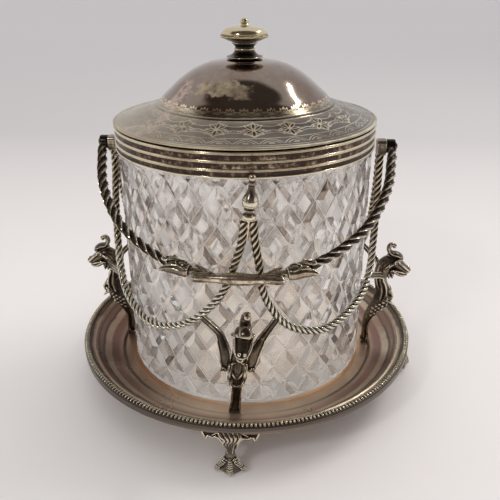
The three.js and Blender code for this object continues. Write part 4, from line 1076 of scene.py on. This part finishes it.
def head(hand):
    """Animal head from the collar, with the arm's end in its jaws."""
    collar = handle_point(*COLLAR, hand)
    ahead = handle_point(ARM_END, arm_bow[-1][1] * REACH, hand) - collar
    across = unit(np.array([-ahead[1], ahead[0], 0]))
    parts = []

    def at(share, shift, up=0.0):
        """Place in the head: share of the way to the arm's end, millimetres across and up."""
        return (*(collar + ahead * share + across * shift)[:2], up)

    def form(stations, corners=14, power=2.0):
        """Loft through rows of share, shift, half width, half thickness and maybe height."""
        rows = [(*at(share, shift, *up), thick, wide) for share, shift, wide, thick, *up in stations]
        parts.append(loft(rows, corners, 5, power, tuple(across)))

    def strand(s, rows, radii, count=None):
        parts.append(tube([at(share, shift, s * up) for share, shift, up in rows], radii, 8, count))

    form([(0.0, 0, 3.0, 2.9), (0.1, 0.15, 3.35, 3.15), (0.2, 0.3, 3.5, 3.2), (0.45, 0.15, 3.65, 3.2),
          (0.7, 0, 3.8, 3.0), (0.9, -0.1, 3.6, 2.7), (1.02, -0.1, 2.9, 2.2)], 24, 2.3)
    form([(-0.7, -1.5, 0.35, 1.0), (-0.5, -1.45, 0.9, 1.4), (-0.22, -0.8, 1.6, 1.8), (0.05, 0, 2.0, 2.0)])
    # upper jaw over the arm's end, a pointed ear behind it, and a lower jaw that reaches further
    form([(0.7, -2.2, 1.5, 2.3), (0.95, -2.9, 1.25, 2.3), (1.15, -3.1, 0.95, 1.9), (1.34, -2.9, 0.5, 1.1)])
    form([(0.62, -2.6, 1.0, 1.5), (0.85, -3.8, 0.9, 1.3), (1.02, -4.8, 0.65, 0.9), (1.1, -5.4, 0.25, 0.3)])
    form([(0.6, 2.3, 1.6, 2.5), (0.85, 3.2, 1.2, 2.2), (1.05, 3.8, 0.9, 1.7), (1.2, 4.5, 0.7, 1.2),
          (1.36, 5.3, 0.3, 0.4)])
    for s in (-1, 1):
        # upper lip that curls at the nose, lower lip, cheek leaf round the eye, and jaw ridge
        strand(s, [(0.55, -2.2, 2.7), (0.8, -1.7, 3.0), (1.02, -0.4, 2.9), (1.22, 0.7, 2.7),
                   (1.36, 0.2, 2.5), (1.34, -0.9, 2.5), (1.2, -0.9, 2.6)],
               [0.4, 0.65, 0.7, 0.65, 0.55, 0.5, 0.45], 60)
        strand(s, [(0.5, 1.4, 3.0), (0.8, 1.9, 2.7), (1.05, 2.9, 1.9), (1.3, 4.6, 0.7)],
               [0.4, 0.55, 0.5, 0.35])
        strand(s, [(0.06, -1.5, 2.7), (0.26, -2.7, 2.5), (0.5, -2.2, 2.8), (0.66, -0.4, 3.1),
                   (0.48, 1.3, 3.1), (0.2, 1.5, 3.0), (0.06, 0.3, 2.8), (0.06, -1.5, 2.7)], 0.42, 70)
        form([(0.12, -0.6, 0.6, 0.6, s * 2.7), (0.3, -0.6, 1.2, 0.7, s * 2.9),
              (0.48, -0.5, 0.6, 0.6, s * 2.9)])
        strand(s, [(0.1, 2.6, 1.8), (0.4, 3.2, 1.8), (0.7, 3.3, 1.9), (1.0, 4.0, 1.3)], 0.4)
    strand(1, [(0.02, 3.0 * math.cos(t), 2.9 * math.sin(t)) for t in np.linspace(0, TAU, 17)], 0.4, 60)
    return fused(parts, 0.2)


def grip():
    """Bar between the heads, with forked leaf ends."""
    # share of the half length, shift outward, half width and half thickness
    bar = [(-0.02, 0, 3.2, 3.2), (0.2, 0, 2.95, 2.95), (0.41, -0.1, 2.45, 2.5), (0.66, -0.3, 2.1, 2.1),
           (0.87, -0.2, 1.9, 1.95), (1.02, 0, 1.75, 1.8), (1.08, 0.1, 1.1, 1.2)]
    leaf = [(0.5, -0.9, 1.0, 1.6), (0.7, -3.1, 1.3, 1.6), (0.86, -5.3, 1.0, 1.4), (1.01, -7.3, 0.4, 0.7)]
    # bright edges of the two prongs, with a hollow between them: places and radii
    edges = [
        ([(0.56, -1.4, 1.2), (0.7, -3.3, 1.5), (0.86, -5.6, 1.3), (1.01, -7.5, 0.5)],
         [0.35, 0.45, 0.4, 0.3]),
        ([(0.6, -1.6, 1.7), (0.8, -1.7, 1.7), (0.97, -1.5, 1.5), (1.06, -0.6, 1.0)],
         [0.3, 0.42, 0.42, 0.4]),
        ([(0.6, 1.6, 1.6), (0.8, 1.5, 1.6), (0.97, 1.6, 1.4), (1.06, 0.7, 1.0)], [0.3, 0.4, 0.4, 0.4]),
    ]
    parts = []
    for hand in (1, -1):

        def at(share, shift, up=0.0):
            return handle_point(share * GRIP_HALF, REACH + shift, hand) + (0, 0, up)

        half = [loft([(*at(share, shift), thick, wide) for share, shift, wide, thick in rows], 26, 6, 2.1)
                for rows in (bar, leaf)]
        for s in (-1, 1):
            for rows, radii in edges:
                half.append(tube([at(share, shift, s * up) for share, shift, up in rows], radii))
        parts += [outward((verts * (hand, 1, hand), faces)) for verts, faces in half]
    return fused(parts, 0.2, 2)


for name, hand in (("right", 1), ("left", -1)):
    arm_part, arm_highlight_level = arm(hand)
    whole = join([arm_part, eye()])
    value = np.concatenate([arm_highlight_level, np.full(len(whole[0]) - len(arm_highlight_level), 0.12)])
    piece(f"twisted_arm_{name}", at_rest(whole, hand), "handle", f"handle_arm_{name}", handle_plate,
          value, 50)
    piece(f"beast_head_{name}", at_rest(head(hand), hand), "handle", f"handle_head_{name}", head_plate,
          (7, 0.2))
piece("grip_bar", at_rest(grip()), "handle", "handle_grip", grip_plate, (9, 0.35))

# Jar

GLASS_R = 69.7
INSIDE = GLASS_R - 5.5
GLASS_LOW = BED + GAP
GLASS_TOP = BED + 139
FLOOR = GLASS_LOW + 9  # inside of the jar's bottom
MOUNT_HIGH = 12.5
MOUNT_LIP = 0.8
MOUNT_TOP = GLASS_TOP + 0.44 + MOUNT_LIP
MOUNT_LOW = MOUNT_TOP - MOUNT_HIGH
SHOULDER = MOUNT_LOW - GAP
LATTICE_TOP = SHOULDER - 4.2
LATTICE_LOW = GLASS_LOW + 2.2
COLUMNS = 31
ROW = 10.07
FINE = 16  # grid steps to a diamond, both ways
FIRST_COLUMN = math.radians(-96.5)


def face_tones(across, up, tones):
    """Painted reflection tone of the cut face under points of the grid: a table, or one of the four bevels of
    a diamond.
    """
    u, v = (across + up) / FINE, (across - up) / FINE
    fu, fv = u % 1, v % 1
    du, dv = np.minimum(fu, 1 - fu), np.minimum(fv, 1 - fv)
    kind = np.where(du < dv, np.where(fu < 0.5, 1, 2), np.where(fv < 0.5, 3, 4))
    kind = np.where(np.minimum(du, dv) >= 0.25, 0, kind)
    return tones[np.floor(u).astype(int) % COLUMNS, np.floor(v).astype(int) % COLUMNS, kind]


def cut_glass():
    """Jar with its diamond lattice, the painted reflection tone of each face, and the groove mask of its
    points, which paints the grooves lighter.
    """
    m = COLUMNS * FINE
    step = ROW * 2 / FINE
    up = int((SHOULDER - LATTICE_TOP) / step)
    down = int((LATTICE_TOP - LATTICE_LOW) / step)
    index = np.arange(up, -down - 1, -1)
    i = np.arange(m)
    j = (i + 1) % m
    theta = FIRST_COLUMN + i * TAU / m
    across, level = np.meshgrid(i, index)

    def away(n):
        """Share of the way from a cut's middle to the next cut."""
        r = np.mod(n, FINE)
        return np.minimum(r, FINE - r) / (FINE / 2)

    near = np.minimum(away(across + level), away(across - level))
    z = np.repeat((LATTICE_TOP + index * step)[:, None], m, 1)
    fade = np.clip((SHOULDER - 1.2 - z) / 3.0, 0, 1) * np.clip((z - LATTICE_LOW) / 2.4, 0, 1)
    radius = GLASS_R - 1.7 * np.clip(1 - near / 0.5, 0, 1) * fade
    lattice = np.stack([radius * np.cos(theta), radius * np.sin(theta), z], 2)
    # random painted reflection tones, one set for each diamond's table and four bevels
    tones = np.random.default_rng(11).random((COLUMNS, COLUMNS, 5))
    tones[..., 0] = 0.45 + 0.55 * tones[..., 0]
    inner = soft([(INSIDE, GLASS_TOP - 0.6), (INSIDE, 100), (INSIDE, 60), (INSIDE, FLOOR + 5),
                  (INSIDE - 0.6, FLOOR + 2.2), (INSIDE - 3, FLOOR + 0.3), (INSIDE - 8, FLOOR),
                  (40, FLOOR)], 4)
    above = [(INSIDE, GLASS_TOP - 0.5), (INSIDE + 0.4, GLASS_TOP), (GLASS_R - 2.4, GLASS_TOP),
             (GLASS_R - 2, GLASS_TOP - 0.5), (GLASS_R - 2, SHOULDER + 0.3), (GLASS_R, SHOULDER + 0.2)]
    below = [(GLASS_R, LATTICE_LOW - 0.2), (GLASS_R - 0.1, GLASS_LOW + 1.5),
             (GLASS_R - 0.8, GLASS_LOW + 0.6), (GLASS_R - 2.2, GLASS_LOW)]
    # rows run from the middle of the floor up the inner wall, over the rim and down outside
    rows = np.vstack([rings(np.vstack([inner[::-1], above]), theta), lattice, rings(below, theta)])
    first = len(inner) + len(above)
    low = len(rows) * m
    last = low - m
    faces, facet = [np.stack([i, j, np.full(m, low)], 1)], [np.full(m, -1.0)]
    for k in range(len(rows) - 1):
        a, b, c, d = k * m + i, k * m + j, (k + 1) * m + j, (k + 1) * m + i
        if first <= k < first + len(index) - 1:
            at = index[k - first]
            even = (i + at) % 2 == 0  # the diagonal lies along a cut
            side = even[:, None]
            faces.append(np.where(side, np.stack([a, d, c], 1), np.stack([a, d, b], 1)))
            faces.append(np.where(side, np.stack([a, c, b], 1), np.stack([b, d, c], 1)))
            # the tone is read at the middle of each triangle
            facet.append(face_tones(i + 0.33, at - np.where(even, 0.67, 0.33), tones))
            facet.append(face_tones(i + 0.67, at - np.where(even, 0.33, 0.67), tones))
        else:
            faces.append(np.stack([a, d, c, b], 1))
            facet.append(np.full(m, -1.0 if k < len(inner) else 0.9))
    faces.append(np.stack([last + j, last + i, np.full(m, low + 1)], 1))
    facet.append(np.full(m, 0.9))
    wear_and_light = np.zeros(low + 2)
    wear_and_light[first * m:first * m + near.size] = ((near < 0.01) * np.clip(fade * 1.5, 0, 1)).ravel()
    verts = np.vstack([rows.reshape(-1, 3), [0, 0, FLOOR], [0, 0, GLASS_LOW]])
    return outward((verts, faces)), np.concatenate(facet), wear_and_light


glass_part, facets, grooves = cut_glass()
glass = piece("cut_glass_jar", glass_part, "jar", "glass_jar", glass_material(), grooves, 14)
glass.data.attributes.new("facet", "FLOAT", "FACE").data.foreach_set("value", facets)
glass.visible_shadow = False


def reeded_mount(steps=256):
    """Three reeds with a double ridge each, and the wear of the points."""
    pitch = (MOUNT_HIGH - MOUNT_LIP) / 3
    foot = [(69.4, 0), (70.9, 0), (70.9, 0), (71.0, 0.35), (70.8, 0.7), (70.2, 0.8), (70.2, 0.8)]
    points = [(r, MOUNT_LOW + z) for r, z in foot]
    for k in range(3):
        low = MOUNT_LOW + 0.5 + k * pitch
        reed = [(70.2, 2.15), (70.2, 2.15), (70.6, 2.25), (70.95, 2.5), (71.0, 2.75), (70.75, 2.92),
                (70.98, 3.1), (71.0, 3.35), (70.8, pitch - 0.2), (70.3, pitch), (70.3, pitch)]
        points += [(r, low + z) for r, z in reed]
    for corner in ((64.2, MOUNT_TOP), (64.2, MOUNT_TOP - MOUNT_LIP), (69.4, MOUNT_TOP - MOUNT_LIP)):
        points += [corner] * 2
    profile = soft(points, 3)
    level = 0.2 + 0.75 * np.clip((profile[:, 0] - 70.2) / 0.7, 0, 1)
    level = np.where(profile[:, 1] > MOUNT_TOP - 0.25, 0.0, level)
    return outward(lathe(profile, steps)), np.repeat(level, steps)


mount_part, mount_level = reeded_mount()
piece("reeded_mount", mount_part, "jar", "jar_mount", mount_material(), mount_level, 45)
dress("mount_cement", plaster_material())

# Lid

LID = MOUNT_TOP + GAP
CROWN = LID + 30.9
STEPS = 1680  # points round the lid, a whole number to each repeat of a pattern
FOOT_ROWS = 25  # rows of the dome's side from its foot past the fans
CUT_ROW = 0.19  # height of a row of a cut pattern


def lid_line(points, sub):
    """Rounded part of the lid's profile, heights above its lower edge."""
    return soft([(r, LID + z) for r, z in points], sub)


lid_edge = lid_line([(70.4, 0), (70.9, 0.25), (71.0, 0.65), (70.8, 1.05), (70.3, 1.3), (69.7, 1.32),
                     (69.2, 1.2)], 4)
lid_top = lid_line([(69.2, 1.2), (60, 4.2), (52, 6.9), (48.6, 8.15), (48.6, 8.15)], 30)
dome_foot = lid_line([(48.2, 8.6), (47.6, 8.9), (46.9, 9.1), (46.9, 9.1)], 3)
dome_side = lid_line([(46.9, 9.1), (45.6, 10.4), (43.3, 13.0), (40.3, 15.6), (34.8, 20.6), (29.1, 24.7),
                      (23.8, 27.4), (17.8, 29.4), (10.0, 30.6), (4, 30.88)], 10)
lid_under = lid_line([(4, 29.9), (20, 27.5), (34, 20.0), (44.8, 9.4), (46.5, 7.8), (52, 6.0), (60, 3.4),
                      (68, 0.8), (69.2, 0.3), (70.0, 0)], 3)


def evenly(line, gap):
    return resample(line, int(length_of(line) / gap) + 2)


def curve(fn, reach, count=24):
    """Points of a cut for shares of the repeat from -reach to reach."""
    return [fn(t) for t in np.linspace(-reach, reach, count)]


def cut_level(columns, rows, pitch, lines, petals, width, ground=None):
    """One repeat of a cut pattern over across and along: ground 0.5, cut line 1, painted bright as a glint,
    petal hollow 0.
    """
    u, s = np.meshgrid((np.arange(columns) / columns - 0.5) * pitch, rows)
    away = np.full(u.shape, 9.0)
    hollow = np.zeros(u.shape)
    for line in lines:
        line = evenly(np.asarray(line, float), 0.12)
        for shift in (-pitch, 0, pitch):
            gap = np.hypot(u[..., None] - line[:, 0] - shift, s[..., None] - line[:, 1]).min(-1)
            away = np.minimum(away, gap)
    for across, along, angle, length, half in petals:
        c, sn = math.cos(math.radians(angle)), math.sin(math.radians(angle))
        for shift in (-pitch, 0, pitch):
            du, ds = u - across - shift, s - along
            lengthwise, sideways = du * sn + ds * c - length / 2, du * c - ds * sn
            size = np.hypot(lengthwise / (length / 2), sideways / half)
            away = np.minimum(away, np.abs(size - 1) * half)
            hollow = np.maximum(hollow, np.clip((0.72 - size) / 0.2, 0, 1))
    line = np.clip(1.6 - away / width, 0, 1)
    base = ground(u / pitch, s) if ground else 0.5
    return np.clip((base * (1 - hollow) + 0.04 * hollow) * (1 - line) + line, 0, 1)


def sag(t):
    """0 at a star and 1 midway between two, for a share of the repeat from -0.5 to 0.5."""
    return 1 - (1 - 2 * abs(t)) ** 2


def star_ground(t, s):
    """Dark between the two hung arcs, paler beyond the outer one."""
    between = np.clip((s - 8.2 - 5.6 * sag(t)) / 1.5, 0, 1) * np.clip((20.6 - 3.6 * sag(t) - s) / 1.5, 0, 1)
    return 0.5 - 0.2 * between + 0.1 * (s > 19)


def flange_level(rows):
    """Arches near the edge and stars under hung arcs nearer the dome. Rows are millimetres from the edge."""
    arches, stars = 35, 20
    pitch = TAU * 67 / arches
    lines = [curve(lambda t: (t * pitch, 2.4 + 3.9 * (1 - 4 * t * t)), 0.48),
             curve(lambda t: (t * pitch, 2.2 + 2.5 * (1 - 7 * t * t)), 0.34),
             [(-pitch / 2, 1.0), (pitch / 2, 1.0)]]
    near = cut_level(STEPS // arches, rows, pitch, lines, [(-0.9, 3.0, 90, 1.8, 0.34)], 0.17)
    pitch = TAU * 57 / stars
    lines = [curve(lambda t: (t * pitch, 20.6 - k - (3.6 - k) * sag(t)), 0.5, 30) for k in (0, 1.0)]
    lines += [curve(lambda t: (t * pitch, 8.2 + (5.6 - k) * sag(t)), 0.5, 30) for k in (0, 2.0)]
    lines += [curve(lambda t: (t * pitch, k), 0.5, 6) for k in (7.1, 21.4, 22.3)]
    # a tick for each grain of the milled line, and short strokes below it
    lines += [[(x, 21.4), (x, 21.9)] for x in np.arange(-0.5, 0.5, 1 / 24) * pitch]
    for side in (-1, 1):
        lines += [[(side * 4.2, 13.6), (side * 6.2, 12.4)], [(side * 5.4, 14.1), (side * 7.4, 13.0)]]
    petals = []
    for angle, length, half in ((0, 5.6, 0.95), (180, 5.4, 0.95), (48, 5.2, 0.85), (-48, 5.2, 0.85),
                                (132, 5.0, 0.85), (-132, 5.0, 0.85), (90, 4.2, 0.6), (-90, 4.2, 0.6)):
        a = math.radians(angle)
        petals.append((0.5 * math.sin(a), 14.3 + 0.5 * math.cos(a), angle, length, half))
    far = cut_level(STEPS // stars, rows, pitch, lines, petals, 0.2, star_ground)
    return np.where(rows[:, None] >= 6.7, np.tile(far, stars), np.tile(near, arches))


def foot_level(rows):
    """Cream band and a row of fans round the foot of the dome. Rows are millimetres up from the foot."""
    fans = 42
    pitch = TAU * 46 / fans
    lines = [curve(lambda t: (t * pitch, 2.5 - 0.6 * math.cos(TAU * t)), 0.5, 12)]
    petals = [(0.3 * math.sin(math.radians(a)), 1.9, a, 2.9, 0.5) for a in (-68, -34, 0, 34, 68)]

    def ground(t, s):
        fan = np.hypot(t * pitch, s - 1.9) < 2.7
        groove = np.abs(s - 0.7 - 0.35 * np.cos(TAU * t)) < 0.16
        return np.where((s < 2.5 - 0.6 * np.cos(TAU * t)) | fan, np.where(groove, 0.35, 0.84), 0.5)

    level = cut_level(STEPS // fans, rows, pitch, lines, petals, 0.18, ground)
    return np.where(rows[:, None] < 5.4, np.tile(level, fans), 0.5)


def domed_lid():
    """Lid with its cut patterns pressed in, and the level of its points, with the painted glint of the cut
    lines.
    """
    a = np.linspace(0, TAU, STEPS, endpoint=False) - math.radians(90)
    rise = np.linspace(0.05, 0.9, len(dome_foot))
    rim = np.full(len(lid_edge) - 1, 0.95)
    rim[:3] = 0.05
    plain = np.vstack([dome_side[FOOT_ROWS:], lid_under])
    # each part of the profile with its pattern, or with the wear of its rows
    blocks = [(lid_edge[:-1], rim), (evenly(lid_top, CUT_ROW), flange_level), (dome_foot, rise),
              (evenly(dome_side[:FOOT_ROWS], CUT_ROW)[1:], foot_level), (plain, np.full(len(plain), 0.5))]
    rows, levels = [], []
    for line, pattern in blocks:
        cut = callable(pattern)
        level = pattern(run_along(line)) if cut else np.tile(np.reshape(pattern, (-1, 1)), STEPS)
        ring = rings(line, a)
        if cut:
            ring[..., 2] -= 0.1 * np.abs(level - 0.5)
        rows.append(ring)
        levels.append(level)
    return outward(grid(np.vstack(rows), loop=True)), np.vstack(levels).ravel()


lid_part, lid_glint_level = domed_lid()
piece("domed_lid", lid_part, "lid", "lid_cover", lid_material(), lid_glint_level, 50)
dress("lid_bezel", plain_plate("bezel_silver_plate", (0.72, 0.66, 0.52), (0.34, 0.28, 0.21)))
dress("knob_nut", plain_plate("nut_silver_plate", (0.4, 0.34, 0.26), (0.1, 0.085, 0.07)))

# Knob


def knob_piece(name, low, points, node, material, steps, extra=None, wear_and_light=None):
    """Turned piece with its foot at a height; wear_and_light is heights above the foot and their levels."""
    part = outward(lathe(soft([(r, low + z) for r, z in points], 5), steps, closed=False))
    if extra:
        part = join([part, extra])
    level = np.interp(part[0][:, 2] - low, *wear_and_light) if wear_and_light else (6, 0.3)
    piece(name, part, "lid", node, material, level, 40)


STEM = CROWN + GAP
BUN = CROWN + 8.2
stem = [(0, -6), (1.6, -6), (1.6, -6), (1.6, 0), (1.6, 0), (9.2, 0), (9.2, 0), (9.7, 0.3), (9.7, 0.7),
        (9.2, 0.95), (9.2, 0.95), (7.2, 1.6), (5.8, 2.8), (5.15, 3.9), (5.15, 3.9), (5.55, 4.1), (5.65, 4.5),
        (5.45, 4.85), (5.0, 5.0), (5.0, 5.0), (5.2, 5.8), (6.2, 6.9), (6.7, 7.2), (6.7, 7.6), (6.7, 7.6),
        (0, 7.6)]
bun = [(0, 0), (6.4, 0), (6.4, 0), (7.4, 0.3), (9.6, 1.1), (11.2, 1.9), (12.0, 2.35), (12.0, 2.35),
       (12.15, 3.0), (12.0, 3.6), (12.0, 3.6), (11.75, 3.8), (11.9, 4.2), (11.6, 5.0), (10.9, 5.9),
       (9.4, 6.8), (7.2, 7.5), (4.4, 8.0), (2.4, 8.2), (0, 8.2)]
tip = [(0, 0), (2.4, 0), (2.4, 0), (2.2, 0.25), (1.9, 0.5), (1.9, 0.5), (2.15, 0.9), (2.25, 1.5), (2.0, 2.3),
       (1.2, 2.95), (0, 3.15)]
milled = ring_of(blob((12.1, 0, BUN + 3.0), (0.55, 0.42, 0.75), 10), 84)
knob_piece("knob_stem", STEM, stem, "knob_foot", stem_plate, 72,
           wear_and_light=([0, 0.5, 1, 3.6, 4.1, 4.8, 5.1, 7, 7.5], [0.6, 0.9, 0.45, 0.4, 0.9, 0.9, 0.4, 0.4, 0.7]))
# the bun's levels are painted light: a lit top above the beads and a shaded underside
knob_piece("knob_bun", BUN, bun, "knob_button", knob_plate, 120, milled,
           ([0, 1.6, 2.3, 3.0, 3.6, 4.4], [0.2, 0.3, 0.35, 0.8, 0.3, 0.75]))
knob_piece("knob_bead", BUN + 8.5, tip, "knob_tip", knob_plate, 36)

# Floor, light, camera


def stage_piece(name, part, graph, colour):
    mesh = make_mesh(name, part)
    mesh.materials.append(graph.finish(colour, 0.9, 0.0))
    obj = linked(name, mesh)
    return obj


paper = Graph("floor_paper")
# painted light: the paper brightest near the object and darker further off, for the fall of the room's light
floor_painted_falloff = paper.ramp(
    paper.span(paper.xyz()[1], -0.1, 3.0), (0.0, (0.95, 0.92, 0.915)), (0.05, (0.84, 0.815, 0.815)),
    (0.13, (0.70, 0.685, 0.69)), (0.4, (0.71, 0.70, 0.715)), (1.0, (0.74, 0.73, 0.75)))
corners = np.array([(-9000, -9000, 0), (9000, -9000, 0), (9000, 9000, 0), (-9000, 9000, 0)], float)
stage_piece("floor", (corners, [np.array([[0, 1, 2, 3]])]), paper, floor_painted_falloff)

# pale wall far behind, for the low views only: light and reflections pass it
paper = Graph("backdrop_paper")
wall_colour = paper.ramp(paper.noise(0.3, 1), (0.3, (0.93, 0.92, 0.94)), (0.7, (0.96, 0.95, 0.97)))
wall = lathe([(0, -5), (8800, -5), (8800, 9000), (0, 9000)], 64, closed=False)
backdrop = stage_piece("backdrop", wall, paper, wall_colour)
backdrop.visible_glossy = backdrop.visible_diffuse = backdrop.visible_shadow = False


def light(name, kind, power, colour):
    lamp = bpy.data.lights.new(name, kind)
    lamp.energy = power
    lamp.color = colour
    return lamp, linked(name, lamp)


def area(name, at, to, size, power, colour):
    lamp, obj = light(name, "AREA", power, colour)
    lamp.shape = "RECTANGLE"
    lamp.size, lamp.size_y = size
    obj.location = at
    obj.rotation_euler = (Vector(to) - Vector(at)).to_track_quat("-Z", "Y").to_euler()


def room_light(name, toward, power):
    """Broad light of the room, left out of reflections."""
    lamp, obj = light(name, "SUN", power, (1.0, 0.985, 0.975))
    lamp.angle = math.radians(80)
    obj.rotation_euler = Vector(toward).to_track_quat("Z", "Y").to_euler()
    obj.visible_glossy = obj.visible_transmission = False


area("key", (0.76, 0.42, 1.126), (0.02, -0.03, 0.17), (0.5, 0.04), 3.4, (1.0, 0.97, 0.92))
area("fill", (-0.6, -0.9, 0.95), (0, 0, 0.12), (0.12, 0.16), 2.0, (1.0, 0.98, 0.95))
room_light("room_back", (0.35, 0.35, 1.0), 0.58)
room_light("room_front", (-0.25, -0.8, 0.95), 0.86)

world = bpy.data.worlds.new("studio")
bpy.context.scene.world = world
world.use_nodes = True
tree = world.node_tree
tree.nodes.clear()
out = tree.nodes.new("ShaderNodeOutputWorld")
back = tree.nodes.new("ShaderNodeBackground")
coord = tree.nodes.new("ShaderNodeTexCoord")
# pale behind and at the sides, dark room above and on the camera's side
toward = tree.nodes.new("ShaderNodeVectorMath")
toward.operation = "DOT_PRODUCT"
toward.inputs[1].default_value = (0.0, -0.707, 0.707)
ramp = tree.nodes.new("ShaderNodeValToRGB")
pale, dark = ramp.color_ramp.elements
pale.position, pale.color = 0.455, (0.70, 0.68, 0.685, 1)
dark.position, dark.color = 0.53, (0.085, 0.07, 0.062, 1)
for source, socket in ((coord.outputs["Generated"], toward.inputs[0]),
                       (toward.outputs["Value"], ramp.inputs[0]),
                       (ramp.outputs[0], back.inputs[0]), (back.outputs[0], out.inputs[0])):
    tree.links.new(source, socket)
bpy.context.scene.view_settings.view_transform = "Standard"

camera = bpy.data.cameras.new("camera")
camera.sensor_width = 36
camera.lens = 42.98
camera.clip_start = 0.01
eye_point = linked("camera", camera)
right, up, ahead = (0.99693, 0.07821, -0.00387), (-0.02898, 0.41429, 0.90968), (-0.07275, 0.90678, -0.41529)
turn = Matrix([(right[k], up[k], -ahead[k]) for k in range(3)]).to_4x4()
eye_point.matrix_world = Matrix.Translation((0.02860, -0.32688, 0.22757)) @ turn
bpy.context.scene.camera = eye_point
